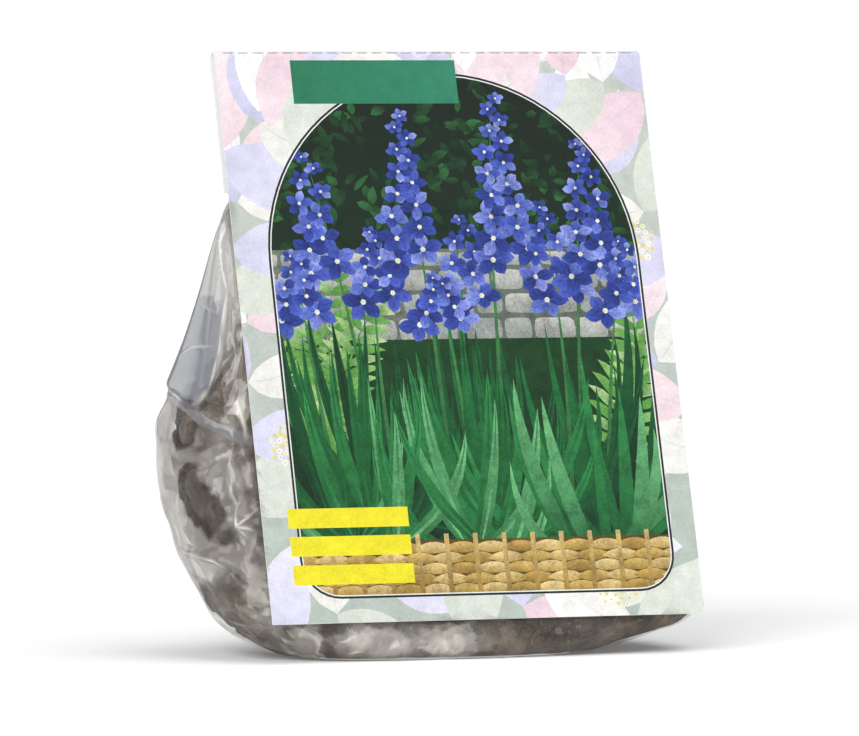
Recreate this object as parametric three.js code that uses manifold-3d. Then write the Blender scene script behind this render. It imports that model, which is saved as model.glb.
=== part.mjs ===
// Retail pack of bare-root garden plants: a folded picture card closes a clear film pouch that is
// filled with peat and three crowns with their fleshy roots. It stands on its filled belly, with the
// card leaning back.
// Units are millimetres. +Z is up, the card faces -Y and +X is to the right of someone who reads it.
import * as THREE from 'three';
import { mergeVertices } from 'three/addons/utils/BufferGeometryUtils.js';
import Module from 'manifold-3d';

const wasm = await Module();
wasm.setup();

// ---- driving dimensions ----
const CARD_WIDTH = 150;
const CARD_HEIGHT = 195; // from the lower edge to the top of the fold
const CARD_THICKNESS = 0.6;
const CARD_LEAN = THREE.MathUtils.degToRad(18.2);
const CARD_LIFT = 13; // height of the card's lower edge above the table
const FLAP_HEIGHT = 48; // how far the card reaches down behind the pouch's mouth

const FILM_WALL = 1;
const MOUTH_THICKNESS = 1.2; // both films, pressed flat and sealed
const MOUTH_HALF_WIDTH = 73;
const GLUE_THICKNESS = 0.4;
const GLUE_WIDTH = 132;
const GLUE_HEIGHT = 8;
const GLUE_BELOW_FOLD = 26; // from the top of the fold to the middle of each glue strip
const FIT_GAP = 0.3; // between pieces that touch
const POCKET_GAP = 0.5; // around a crown's roots, in the peat

const VENT_RADIUS = 3;
const VENT_SPACING_X = 44;
const VENT_HEIGHTS = [38, 70];
const VENT_DEPTH = 40; // behind the card's face, where each vent's cutter starts

const PEAT_LEVEL = 112;
const PEAT_RIPPLE = 2.5; // how far the peat's top rises and falls
const PEAT_RIPPLE_X = 17; // the ripple's length, as the millimetres for one radian
const PEAT_RIPPLE_Y = 23;

const RING_POINTS = 36; // points around one level of the pouch
const ROOT_SIDES = 7;
const ROOT_STEPS = 11;
const TIP_POWER = 6; // the higher, the nearer to its end a root starts to round off
const TIP_CLOSURE = 0.9; // how far its end closes, 1 being to a point

// ---- places worked out from them ----
const GLUE_FRONT_START = CARD_THICKNESS + FIT_GAP;
const MOUTH_START = GLUE_FRONT_START + GLUE_THICKNESS + FIT_GAP;
const GLUE_BACK_START = MOUTH_START + MOUTH_THICKNESS + FIT_GAP;
const FLAP_START = GLUE_BACK_START + GLUE_THICKNESS + FIT_GAP;
const FOLD_RADIUS = (FLAP_START + CARD_THICKNESS) / 2;
const FLAP_EDGE_Z = CARD_LIFT + (CARD_HEIGHT - FLAP_HEIGHT) * Math.cos(CARD_LEAN);
const MOUTH_TOP_Z = CARD_LIFT + (CARD_HEIGHT - FOLD_RADIUS - 1) * Math.cos(CARD_LEAN);

// Levels of the pouch from its base to its mouth. depth is measured backwards from the card's face.
// left and right are the reach to each side: the contents have slipped to the left. square tells how
// boxy the level's outline is.
const BASE_LEVELS = [
  { z: 0, left: 61, right: 44, front: 1, back: 64, square: 2.8 },
  { z: 3, left: 68, right: 54, front: -1, back: 64, square: 3 },
  { z: 8, left: 77, right: 74, front: -1.5, back: 64.5, square: 3.4 },
];
const BELLY_LEVELS = [
  { z: 14, left: 83, right: 80.5, depth: 66 },
  { z: 23, left: 86.5, right: 81, depth: 66 },
  { z: 33, left: 91, right: 81, depth: 67 },
  { z: 46, left: 93.5, right: 81, depth: 68 },
  { z: 60, left: 95.5, right: 81, depth: 68.5 },
  { z: 74, left: 94.5, right: 81, depth: 67 },
  { z: 86, left: 91, right: 81, depth: 62 },
  { z: 102, left: 86, right: 79.5, depth: 48 },
  { z: 118, left: 82.5, right: 78, depth: 32 },
  { z: 135, left: 79.5, right: 76, depth: 15 },
  { z: 146, left: 76.5, right: 75.5, depth: 5.5 },
];
const BELLY_SQUARE = 4;
const FRONT_OVERSHOOT = 4; // the pouch is drawn this far into the card's plane, then cut flat

// Roots and leaf bases of each crown: the points that the middle of each one passes, from the crown
// outwards, and its radius at both ends.
const CROWNS = [
  {
    name: 'crown_left',
    heart: [-47, 50, 84],
    size: [15, 11, 15],
    roots: [
      {
        path: [[-52, 52, 84], [-70, 48, 84], [-86, 42, 80], [-88.8, 40, 73.5], [-80, 49, 66], [-70, 54, 48]],
        thick: 5.6,
        thin: 4.8,
      },
      {
        path: [
          [-50, 46, 80], [-64, 48, 74], [-77, 47, 66], [-86.5, 36, 59.5],
          [-88.4, 31, 53.5], [-84.4, 25, 45.7], [-79, 19.2, 38.5], [-72, 22, 34],
        ],
        thick: 5.2,
        thin: 5,
      },
      {
        path: [
          [-50, 44, 80], [-66, 31, 76], [-77, 27.4, 67], [-75, 23.8, 53],
          [-74, 18.4, 40], [-75.5, 16, 29], [-74, 15, 18],
        ],
        thick: 4.8,
        thin: 4.4,
      },
      {
        path: [[-50, 48, 78], [-64, 47, 56], [-78, 42, 34], [-77, 29, 21], [-69, 19, 12]],
        thick: 5.6,
        thin: 5,
      },
      {
        path: [[-45, 46, 78], [-48, 36, 52], [-55, 20, 26], [-60.5, 11.4, 8], [-60.8, 10.6, 5]],
        thick: 4.8,
        thin: 4.4,
      },
      { path: [[-42, 55, 78], [-40, 65, 60], [-38, 65, 36], [-36, 54, 14]], thick: 4.4, thin: 3 },
      { path: [[-42, 46, 78], [-34, 38, 54], [-32, 22, 34], [-36, 9, 9]], thick: 4.2, thin: 2.6 },
    ],
    leaves: [
      { path: [[-52, 50, 90], [-54, 51, 106], [-57, 53, 119]], thick: 6, thin: 4.6 },
      { path: [[-44, 50, 92], [-42, 50, 108], [-41, 50, 123]], thick: 6.4, thin: 5 },
    ],
  },
  {
    name: 'crown_middle',
    heart: [2, 52, 80],
    size: [16, 12, 14],
    roots: [
      { path: [[-4, 50, 76], [-16, 42, 58], [-18, 26, 40], [-12, 14, 14]], thick: 5, thin: 3 },
      { path: [[-4, 56, 76], [-14, 66, 60], [-18, 68, 38], [-14, 54, 12]], thick: 5.2, thin: 3 },
      { path: [[2, 48, 74], [0, 38, 54], [4, 24, 34], [6, 10, 8]], thick: 5, thin: 2.8 },
      { path: [[4, 56, 74], [8, 66, 56], [8, 66, 32], [4, 48, 10]], thick: 5.2, thin: 3.2 },
      { path: [[8, 50, 76], [20, 40, 60], [22, 26, 40], [20, 12, 14]], thick: 4.8, thin: 2.8 },
    ],
    leaves: [
      { path: [[-4, 52, 86], [-6, 52, 102], [-9, 53, 118]], thick: 6.2, thin: 4.8 },
      { path: [[7, 52, 86], [9, 52, 104], [10, 51, 121]], thick: 6, thin: 4.6 },
    ],
  },
  {
    name: 'crown_right',
    heart: [50, 50, 82],
    size: [15, 11, 15],
    roots: [
      { path: [[46, 46, 76], [38, 34, 58], [36, 22, 38], [38, 10, 12]], thick: 4.8, thin: 2.8 },
      { path: [[46, 55, 76], [38, 67, 58], [34, 66, 34], [32, 50, 12]], thick: 5, thin: 3 },
      { path: [[54, 46, 78], [64, 32, 66], [69, 18, 46], [68, 14, 22]], thick: 4.8, thin: 3 },
      { path: [[55, 54, 78], [70, 62, 66], [76, 58, 46], [70, 42, 26]], thick: 5.2, thin: 3.4 },
      { path: [[50, 50, 76], [52, 44, 56], [56, 36, 36], [58, 26, 13]], thick: 5, thin: 3 },
    ],
    leaves: [
      { path: [[46, 50, 90], [44, 50, 106], [41, 51, 120]], thick: 6, thin: 4.6 },
      { path: [[56, 51, 90], [60, 53, 104], [62, 54, 116]], thick: 5.6, thin: 4.4 },
    ],
  },
];

// ---- geometry helpers ----

// A closed skin over a stack of rings that all have the same number of points.
function loft(rings) {
  const count = rings[0].length;
  const positions = [];
  const indices = [];
  for (const ring of rings) {
    for (const point of ring) {
      positions.push(point.x, point.y, point.z);
    }
  }
  for (let level = 0; level + 1 < rings.length; level += 1) {
    for (let i = 0; i < count; i += 1) {
      const here = level * count + i;
      const next = level * count + ((i + 1) % count);
      indices.push(here, next, next + count, here, next + count, here + count);
    }
  }
  for (const [level, flip] of [[0, true], [rings.length - 1, false]]) {
    const middle = new THREE.Vector3();
    rings[level].forEach((point) => middle.addScaledVector(point, 1 / count));
    const centre = positions.length / 3;
    positions.push(middle.x, middle.y, middle.z);
    for (let i = 0; i < count; i += 1) {
      const here = level * count + i;
      const next = level * count + ((i + 1) % count);
      indices.push(centre, flip ? next : here, flip ? here : next);
    }
  }
  const geometry = new THREE.BufferGeometry();
  geometry.setAttribute('position', new THREE.Float32BufferAttribute(positions, 3));
  geometry.setIndex(indices);
  return geometry;
}

// A tapered tube along a smooth path, fatter and longer by `swell` where it cuts its own pocket.
// Its far end is rounded off unless it is a cut one.
function taperedTube(limb, swell, cut) {
  const curve = new THREE.CatmullRomCurve3(limb.path.map((point) => new THREE.Vector3(...point)));
  const frames = curve.computeFrenetFrames(ROOT_STEPS, false);
  const rings = [];
  for (let step = 0; step <= ROOT_STEPS; step += 1) {
    const along = step / ROOT_STEPS;
    const tip = cut ? 1 : Math.sqrt(1 - Math.pow(along, TIP_POWER) * TIP_CLOSURE);
    const radius = THREE.MathUtils.lerp(limb.thick, limb.thin, along) * tip + swell;
    const centre = curve.getPointAt(along);
    if (step === ROOT_STEPS) {
      centre.addScaledVector(frames.tangents[step], swell);
    }
    const ring = [];
    for (let i = 0; i < ROOT_SIDES; i += 1) {
      const angle = (i / ROOT_SIDES) * Math.PI * 2;
      ring.push(
        centre
          .clone()
          .addScaledVector(frames.normals[step], radius * Math.cos(angle))
          .addScaledVector(frames.binormals[step], radius * Math.sin(angle)),
      );
    }
    rings.push(ring);
  }
  return loft(rings);
}

function toSolid(geometry) {
  const bare = geometry.clone();
  bare.deleteAttribute('normal');
  bare.deleteAttribute('uv');
  const merged = mergeVertices(bare);
  return new wasm.Manifold(
    new wasm.Mesh({
      numProp: 3,
      vertProperties: new Float32Array(merged.attributes.position.array),
      triVerts: new Uint32Array(merged.index.array),
    }),
  );
}

function toGeometry(solid) {
  const mesh = solid.getMesh();
  const geometry = new THREE.BufferGeometry();
  const positions = new Float32Array(mesh.triVerts.length * 3);
  mesh.triVerts.forEach((vertex, corner) => {
    for (let axis = 0; axis < 3; axis += 1) {
      positions[corner * 3 + axis] = mesh.vertProperties[vertex * mesh.numProp + axis];
    }
  });
  geometry.setAttribute('position', new THREE.BufferAttribute(positions, 3));
  geometry.computeVertexNormals();
  return geometry;
}

function largestPiece(solid) {
  return solid.decompose().reduce((best, piece) => (piece.volume() > best.volume() ? piece : best));
}

// ---- card ----

// The folded card in its own upright frame, with the front panel's face in y = 0 and its lower edge
// in z = 0.
function cardGeometry() {
  const straightTop = CARD_HEIGHT - FOLD_RADIUS;
  const flapEdge = CARD_HEIGHT - FLAP_HEIGHT;
  const outline = new THREE.Shape();
  outline.moveTo(0, 0);
  outline.lineTo(CARD_THICKNESS, 0);
  outline.lineTo(CARD_THICKNESS, straightTop);
  outline.absarc(FOLD_RADIUS, straightTop, FOLD_RADIUS - CARD_THICKNESS, Math.PI, 0, true);
  outline.lineTo(FLAP_START, flapEdge);
  outline.lineTo(FLAP_START + CARD_THICKNESS, flapEdge);
  outline.lineTo(FLAP_START + CARD_THICKNESS, straightTop);
  outline.absarc(FOLD_RADIUS, straightTop, FOLD_RADIUS, 0, Math.PI, false);
  outline.closePath();
  const geometry = new THREE.ExtrudeGeometry(outline, {
    depth: CARD_WIDTH,
    bevelEnabled: false,
    curveSegments: 8,
  });
  const acrossX = new THREE.Matrix4().makeBasis(
    new THREE.Vector3(0, 1, 0),
    new THREE.Vector3(0, 0, 1),
    new THREE.Vector3(1, 0, 0),
  );
  geometry.applyMatrix4(acrossX);
  geometry.translate(-CARD_WIDTH / 2, 0, 0);
  return geometry;
}

function glueGeometry() {
  return new THREE.BoxGeometry(GLUE_WIDTH, GLUE_THICKNESS, GLUE_HEIGHT);
}

// ---- pouch ----

// Where the plane that lies `offset` behind the card's face stands at a height above the table.
function planeY(z, offset) {
  return (z - CARD_LIFT) * Math.tan(CARD_LEAN) + offset / Math.cos(CARD_LEAN);
}

// One level of the pouch: a rounded box outline, drawn in by `inset` on every side.
function pouchRing(level, inset) {
  const middle = (level.right - level.left) / 2;
  const halfWidth = (level.right + level.left) / 2 - inset;
  const centreY = (level.front + level.back) / 2;
  const halfDepth = (level.back - level.front) / 2 - inset;
  const rounding = 2 / level.square;
  const ring = [];
  for (let i = 0; i < RING_POINTS; i += 1) {
    const angle = (i / RING_POINTS) * Math.PI * 2;
    const across = Math.sign(Math.cos(angle)) * Math.pow(Math.abs(Math.cos(angle)), rounding);
    const along = Math.sign(Math.sin(angle)) * Math.pow(Math.abs(Math.sin(angle)), rounding);
    ring.push(new THREE.Vector3(middle + across * halfWidth, centreY + along * halfDepth, level.z));
  }
  return ring;
}

function pouchLevels() {
  const belly = BELLY_LEVELS.map((level) => ({
    ...level,
    front: planeY(level.z, MOUTH_START) - FRONT_OVERSHOOT,
    back: planeY(level.z, 0) + level.depth,
    square: BELLY_SQUARE,
  }));
  return [...BASE_LEVELS, ...belly];
}

// The mouth is a flat sealed band between the card's two panels.
function mouthLevels() {
  return [FLAP_EDGE_Z - 2, MOUTH_TOP_Z].map((z) => ({
    z,
    left: MOUTH_HALF_WIDTH,
    right: MOUTH_HALF_WIDTH,
    front: planeY(z, MOUTH_START) - FRONT_OVERSHOOT,
    back: planeY(z, MOUTH_START + MOUTH_THICKNESS),
    square: 8,
  }));
}

// All the space more than `offset` behind the card's face.
function behindCard(offset) {
  const reach = 400;
  const box = new THREE.BoxGeometry(reach, reach, reach * 2);
  box.translate(0, reach / 2 + offset, 0);
  box.rotateX(-CARD_LEAN);
  box.translate(0, 0, CARD_LIFT);
  return toSolid(box);
}

function pouchSolid() {
  const rings = [...pouchLevels(), ...mouthLevels()].map((level) => pouchRing(level, 0));
  return toSolid(loft(rings)).intersect(behindCard(MOUTH_START));
}

// The pouch's space, smaller by `inset` on every side. The base slopes gently outwards, so its levels
// are raised as well as drawn in.
function innerSolid(inset) {
  const rings = pouchLevels().map((level, order) => {
    const raise = order < BASE_LEVELS.length ? inset : 0;
    return pouchRing({ ...level, z: level.z + raise }, inset);
  });
  return toSolid(loft(rings)).intersect(behindCard(MOUTH_START + inset));
}

function ventCutters() {
  const reach = 60;
  const cutters = [];
  for (const z of VENT_HEIGHTS) {
    for (const column of [-1, 0, 1]) {
      const hole = new THREE.CylinderGeometry(VENT_RADIUS, VENT_RADIUS, reach, 16);
      hole.translate(column * VENT_SPACING_X, planeY(z, VENT_DEPTH) + reach / 2, z);
      cutters.push(toSolid(hole));
    }
  }
  return cutters;
}

function filmGeometry() {
  let film = pouchSolid().subtract(innerSolid(FILM_WALL));
  for (const cutter of ventCutters()) {
    film = film.subtract(cutter);
  }
  return toGeometry(film);
}

// ---- contents ----

function crownSolid(crown, swell) {
  const heart = new THREE.SphereGeometry(1, 10, 8);
  heart.scale(crown.size[0] + swell, crown.size[1] + swell, crown.size[2] + swell);
  heart.translate(...crown.heart);
  let solid = toSolid(heart);
  for (const root of crown.roots) {
    solid = solid.add(toSolid(taperedTube(root, swell, false)));
  }
  for (const leaf of crown.leaves) {
    solid = solid.add(toSolid(taperedTube(leaf, swell, true)));
  }
  return solid;
}

function crownGeometry(crown) {
  return toGeometry(largestPiece(crownSolid(crown, 0).intersect(innerSolid(FILM_WALL + FIT_GAP))));
}

function belowPeatLevel() {
  const half = 120;
  const box = new THREE.BoxGeometry(half * 2, half * 2, PEAT_LEVEL * 2, 12, 6, 1);
  const positions = box.attributes.position;
  for (let i = 0; i < positions.count; i += 1) {
    if (positions.getZ(i) > 0) {
      const across = Math.sin(positions.getX(i) / PEAT_RIPPLE_X);
      const along = Math.cos(positions.getY(i) / PEAT_RIPPLE_Y);
      positions.setZ(i, PEAT_LEVEL + across * along * PEAT_RIPPLE);
    }
  }
  return toSolid(box);
}

function peatGeometry() {
  let peat = innerSolid(FILM_WALL + FIT_GAP).intersect(belowPeatLevel());
  for (const crown of CROWNS) {
    peat = peat.subtract(crownSolid(crown, POCKET_GAP));
  }
  return toGeometry(largestPiece(peat));
}

// ---- assembly ----

function piece(name, geometry, color, roughness, metalness = 0) {
  const material = new THREE.MeshStandardMaterial({ color, roughness, metalness });
  const mesh = new THREE.Mesh(geometry, material);
  mesh.name = name;
  return mesh;
}

const leaning = new THREE.Group();
leaning.rotation.x = -CARD_LEAN;
leaning.position.z = CARD_LIFT;
leaning.add(piece('picture_card', cardGeometry(), '#dcdde6', 0.45));
const glueStarts = { glue_strip_front: GLUE_FRONT_START, glue_strip_back: GLUE_BACK_START };
for (const [name, start] of Object.entries(glueStarts)) {
  const strip = piece(name, glueGeometry(), '#e6dfc8', 0.5);
  strip.position.set(0, start + GLUE_THICKNESS / 2, CARD_HEIGHT - GLUE_BELOW_FOLD);
  leaning.add(strip);
}

const pack = new THREE.Group();
pack.add(leaning);
pack.add(piece('film_bag', filmGeometry(), '#c9c8c6', 0.12));
pack.add(piece('peat_fill', peatGeometry(), '#4e4238', 0.95));
for (const crown of CROWNS) {
  pack.add(piece(crown.name, crownGeometry(crown), '#7d6a58', 0.8));
}

// The origin goes to the middle of the pack's footprint box, on the table.
const bounds = new THREE.Box3().setFromObject(pack);
pack.position.set(-(bounds.min.x + bounds.max.x) / 2, -(bounds.min.y + bounds.max.y) / 2, -bounds.min.z);

const group = new THREE.Group();
group.add(pack);

export default group;
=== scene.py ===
import math
import random

import bmesh
import bpy
import numpy as np
from mathutils import Matrix, Vector, noise
from mathutils.bvhtree import BVHTree
from mathutils.geometry import delaunay_2d_cdt


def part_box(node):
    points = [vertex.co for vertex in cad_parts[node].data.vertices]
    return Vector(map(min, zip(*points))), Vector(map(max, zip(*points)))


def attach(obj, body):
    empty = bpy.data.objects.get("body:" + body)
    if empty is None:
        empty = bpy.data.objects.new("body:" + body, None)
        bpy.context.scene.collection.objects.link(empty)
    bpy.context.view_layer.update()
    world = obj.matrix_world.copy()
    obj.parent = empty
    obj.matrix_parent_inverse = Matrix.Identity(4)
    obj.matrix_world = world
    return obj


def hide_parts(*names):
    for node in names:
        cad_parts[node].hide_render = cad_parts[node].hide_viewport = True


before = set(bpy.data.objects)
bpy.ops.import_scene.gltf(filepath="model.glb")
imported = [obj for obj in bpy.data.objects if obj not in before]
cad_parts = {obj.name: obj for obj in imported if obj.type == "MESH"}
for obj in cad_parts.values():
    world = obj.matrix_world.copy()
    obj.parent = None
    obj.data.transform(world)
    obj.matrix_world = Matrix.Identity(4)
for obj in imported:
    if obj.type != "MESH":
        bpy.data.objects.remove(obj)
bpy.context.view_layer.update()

scene = bpy.context.scene


# ---------------------------------------------------------------------------------------------
# Table top, light and camera.
# A seamless pale top, one broad soft lamp from the front left, and a wide dim one from above.
# The card's own box gives the height and the side that the camera looks at.
# ---------------------------------------------------------------------------------------------
def linear(hex_colour):
    """sRGB hex, such as #2f7d5c, to the linear red, green, blue, alpha that shaders take."""
    digits = hex_colour.lstrip("#")
    out = []
    for i in (0, 2, 4):
        c = int(digits[i : i + 2], 16) / 255
        out.append(c / 12.92 if c <= 0.04045 else ((c + 0.055) / 1.055) ** 2.4)
    return (*out, 1.0)


def new_material(name):
    """A material whose nodes are still to be added, and its tree."""
    material = bpy.data.materials.new(name)
    material.use_nodes = True
    material.node_tree.nodes.clear()
    return material, material.node_tree


def add(tree, kind, inputs=None, **settings):
    """Adds a shader node. inputs maps an input to a value, an output, or a node for its first
    output. A setting is a property of the node or the value of one of its inputs.
    """
    node = tree.nodes.new("ShaderNode" + kind)
    for key, value in settings.items():
        if hasattr(node, key):
            setattr(node, key, value)
        else:
            node.inputs[key.replace("_", " ")].default_value = value
    for key, value in (inputs or {}).items():
        if isinstance(value, bpy.types.Node):
            value = value.outputs[0]
        if isinstance(value, bpy.types.NodeSocket):
            tree.links.new(value, node.inputs[key])
        else:
            node.inputs[key].default_value = value
    return node


def direction(azimuth, elevation):
    """The unit vector that lies so far round to the right of the front, and so far up."""
    level = math.cos(elevation)
    return Vector((math.sin(azimuth) * level, -math.cos(azimuth) * level, math.sin(elevation)))


def hang(name, data, towards):
    """A lamp or camera in the scene, which looks back along a direction."""
    holder = bpy.data.objects.new(name, data)
    scene.collection.objects.link(holder)
    holder.rotation_mode = "QUATERNION"
    holder.rotation_quaternion = towards.to_track_quat("Z", "Y")
    return holder


CARD_LEAN = math.radians(18.2)
CAMERA_AZIMUTH = math.radians(-19.64)
CAMERA_ELEVATION = math.radians(2.48)
CAMERA_DISTANCE = 2.5
CAMERA_LENS = 317.3
CAMERA_SENSOR = 36.0
AIM_FROM_CARD = Vector((-0.00707, 0.040, 0.09332))

card_low, card_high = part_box("picture_card")
card_foot = Vector(((card_low.x + card_high.x) / 2, card_low.y, 0))

bpy.ops.mesh.primitive_plane_add(size=60, location=(0, 0, 0))
table_top = bpy.context.object
table_top.name = "table_top"

# Laminate, dead matt and near white, so that it shows nothing but the soft shadow.
table_paint, tree = new_material("matt_white_laminate")
shader = add(
    tree,
    "BsdfPrincipled",
    Base_Color=(0.97, 0.97, 0.97, 1),
    Roughness=1.0,
    Specular_IOR_Level=0.0,
    Emission_Color=(1, 1, 1, 1),
    Emission_Strength=0.12,
)
add(tree, "OutputMaterial", {"Surface": shader})
table_top.data.materials.append(table_paint)

world = bpy.data.worlds.new("studio")
scene.world = world
world.use_nodes = True
tree = world.node_tree
tree.nodes.clear()
paths = add(tree, "LightPath")
way = add(tree, "TexCoord").outputs["Generated"]
panels = add(tree, "TexNoise", {"Vector": way}, Scale=3.2, Detail=1)
panel_light = add(tree, "MapRange", {"Value": panels}, From_Min=0.5, From_Max=0.6, To_Min=0.1, To_Max=1.3)
lamp_sky = add(tree, "Background", Color=linear("#f2f4f6"), Strength=0.34)
panel_sky = add(tree, "Background", {"Strength": panel_light}, Color=linear("#f8f9fa"))
seen_sky = add(tree, "Background", Color=(1, 1, 1, 1), Strength=1.0)
lit_sky = add(tree, "MixShader", {0: paths.outputs["Is Glossy Ray"], 1: lamp_sky, 2: panel_sky})
sky = add(tree, "MixShader", {0: paths.outputs["Is Camera Ray"], 1: lit_sky, 2: seen_sky})
add(tree, "OutputWorld", {"Surface": sky})

for name, azimuth, elevation, angle, strength in (
    ("key_lamp", -48, 38, 38, 1.4),
    ("top_lamp", 60, 72, 55, 1.3),
):
    lamp = bpy.data.lights.new(name, "SUN")
    lamp.energy = strength
    lamp.angle = math.radians(angle)
    hang(name, lamp, direction(math.radians(azimuth), math.radians(elevation)))

camera_data = bpy.data.cameras.new("camera")
camera_data.sensor_width = CAMERA_SENSOR
camera_data.lens = CAMERA_LENS
camera_data.clip_start = 0.05
camera_data.clip_end = 100
back = direction(CAMERA_AZIMUTH, CAMERA_ELEVATION)
camera = hang("camera", camera_data, back)
camera.location = card_foot + AIM_FROM_CARD + back * CAMERA_DISTANCE
scene.camera = camera
scene.view_settings.view_transform = "Standard"


# ---------------------------------------------------------------------------------------------
# Crowns.
# Three bare-root divisions, lifted and trimmed: a short woody heart, thick fleshy roots that
# wrinkled as they dried, and the cut bases of the leaves. Places are in millimetres from the
# foot of the card's middle, which is also where the pouch is measured from.
# ---------------------------------------------------------------------------------------------
MM = 0.001
ROOT_STEPS = 46
ROOT_VOXEL = 0.00085
ROOT_SWAY = 0.9  # millimetres that a root's middle line may stray

# Heart: middle and half sizes. Roots, then leaves: middle line, radius at the heart, at the end.
CROWNS = {
    "crown_left": (
        ((-47, 50, 84), (14, 10, 14)),
        (
            (
                (
                    (-52, 52, 84), (-70, 48, 84), (-86, 42, 80), (-88.8, 40, 73.5), (-80, 49, 66),
                    (-70, 54, 48),
                ), 5.6, 4.8,
            ),
            (
                (
                    (-50, 46, 80), (-64, 48, 74), (-77, 47, 66), (-86.5, 36, 59.5), (-88.4, 31, 53.5),
                    (-84.4, 25, 45.7), (-79, 19.2, 38.5), (-72, 22, 34),
                ), 5.2, 5,
            ),
            (
                (
                    (-50, 44, 80), (-66, 31, 76), (-77, 27.4, 67), (-75, 23.8, 53),
                    (-74, 18.4, 40), (-75.5, 16, 29), (-74, 15, 18),
                ), 4.8, 4.4,
            ),
            (((-50, 48, 78), (-64, 47, 56), (-78, 42, 34), (-77, 29, 21), (-69, 19, 12)), 5.6, 5),
            (((-45, 46, 78), (-48, 36, 52), (-55, 20, 26), (-60.5, 11.4, 8), (-60.8, 10.6, 5)), 4.8, 4.4),
            (((-42, 55, 78), (-40, 65, 60), (-38, 65, 36), (-36, 54, 14)), 4.4, 3),
            (((-42, 46, 78), (-34, 38, 54), (-32, 22, 34), (-36, 9, 9)), 4.2, 2.6),
        ),
        (
            (((-52, 50, 90), (-54, 51, 106), (-57, 53, 119)), 5.6, 4.4),
            (((-44, 50, 92), (-42, 50, 108), (-41, 50, 123)), 6, 4.8),
        ),
    ),
    "crown_middle": (
        ((2, 52, 80), (15, 11, 13)),
        (
            (((-4, 50, 76), (-16, 42, 58), (-18, 26, 40), (-12, 13, 13)), 4.6, 3),
            (((-4, 56, 76), (-14, 65, 60), (-18, 67, 38), (-14, 54, 12)), 4.8, 3),
            (((2, 48, 74), (0, 38, 54), (4, 24, 34), (6, 9, 7)), 4.6, 2.8),
            (((4, 56, 74), (8, 65, 56), (8, 65, 32), (4, 48, 10)), 4.8, 3.2),
            (((8, 50, 76), (20, 40, 60), (22, 26, 40), (20, 12, 14)), 4.4, 2.8),
        ),
        (
            (((-4, 52, 86), (-6, 52, 102), (-9, 53, 118)), 5.8, 4.6),
            (((7, 52, 86), (9, 52, 104), (10, 51, 121)), 5.6, 4.4),
        ),
    ),
    "crown_right": (
        ((50, 50, 82), (14, 10, 14)),
        (
            (((46, 46, 76), (38, 34, 58), (36, 22, 38), (38, 9, 11)), 4.4, 2.8),
            (((46, 55, 76), (38, 66, 58), (34, 65, 34), (32, 50, 12)), 4.6, 3),
            (((54, 46, 78), (64, 32, 66), (69, 18, 46), (68, 14, 22)), 4.4, 3),
            (((55, 54, 78), (70, 62, 66), (75, 57, 46), (69, 42, 26)), 4.8, 3.4),
            (((50, 50, 76), (52, 44, 56), (56, 36, 36), (58, 26, 13)), 4.6, 3),
        ),
        (
            (((46, 50, 90), (44, 50, 106), (41, 51, 120)), 5.6, 4.4),
            (((56, 51, 90), (60, 53, 104), (62, 54, 116)), 5.2, 4.2),
        ),
    ),
}


def in_pouch(place):
    """A place given in millimetres from the foot of the card, in the frame's metres."""
    return card_foot + Vector(place) * MM


def local(places):
    """Rows of points in millimetres from the foot of the card's middle."""
    return (places - np.array(card_foot)) / MM


def select_only(*pieces):
    """Selects these pieces and no others, and makes the last one active."""
    bpy.ops.object.select_all(action="DESELECT")
    for piece in pieces:
        piece.select_set(True)
        bpy.context.view_layer.objects.active = piece


def new_piece(name, data):
    """An object for a mesh or a curve, in the scene, selected and active."""
    piece = bpy.data.objects.new(name, data)
    scene.collection.objects.link(piece)
    select_only(piece)
    return piece


def modify(piece, kind, **settings):
    """Puts a modifier on a piece and applies it."""
    select_only(piece)
    modifier = piece.modifiers.new(kind.lower(), kind)
    for key, value in settings.items():
        setattr(modifier, key, value)
    bpy.ops.object.modifier_apply(modifier=modifier.name)


def rows_of(items, key):
    """One three-part value of each item of a mesh, as rows of an array."""
    values = np.empty(len(items) * 3)
    items.foreach_get(key, values)
    return values.reshape(-1, 3)


def points_of(piece):
    return rows_of(piece.data.vertices, "co")


def normals_of(piece):
    return rows_of(piece.data.vertices, "normal")


def set_points(piece, places):
    piece.data.vertices.foreach_set("co", places.ravel())
    piece.data.update()


def scale_of(size):
    """The scale of a noise whose lumps are so many millimetres across."""
    return 1 / (size * MM)


def earthen(name, clouds, grit, tones, flecks, relief, roughness):
    """A dull material in three cloudy tones, raised and flecked where its grit is high.

    clouds and grit are a noise's size, detail and roughness. flecks are the grit where they start
    and where they are full, how much they cover and their colour. relief is depth and distance.
    """
    material, tree = new_material(name)
    place = add(tree, "TexCoord").outputs["Object"]
    clouds, grit = (
        add(tree, "TexNoise", {"Vector": place}, Scale=scale_of(size), Detail=detail, Roughness=rough)
        for size, detail, rough in (clouds, grit)
    )
    tone = add(tree, "ValToRGB", {"Fac": clouds})
    stops = tone.color_ramp.elements
    for k, (at, tint) in enumerate(tones):
        stop = stops[k] if k < 2 else stops.new(at)
        stop.position = at
        stop.color = linear(tint)
    start, full, cover, tint = flecks
    fleck = add(tree, "MapRange", {"Value": grit}, From_Min=start, From_Max=full, To_Max=cover)
    flecked = add(tree, "Mix", {0: fleck, 6: tone, 7: linear(tint)}, data_type="RGBA").outputs[2]
    bump = add(tree, "Bump", {"Height": grit}, Strength=relief[0], Distance=relief[1])
    shader = add(tree, "BsdfPrincipled", {"Base Color": flecked, "Normal": bump}, Roughness=roughness)
    add(tree, "OutputMaterial", {"Surface": shader})
    return material


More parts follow.
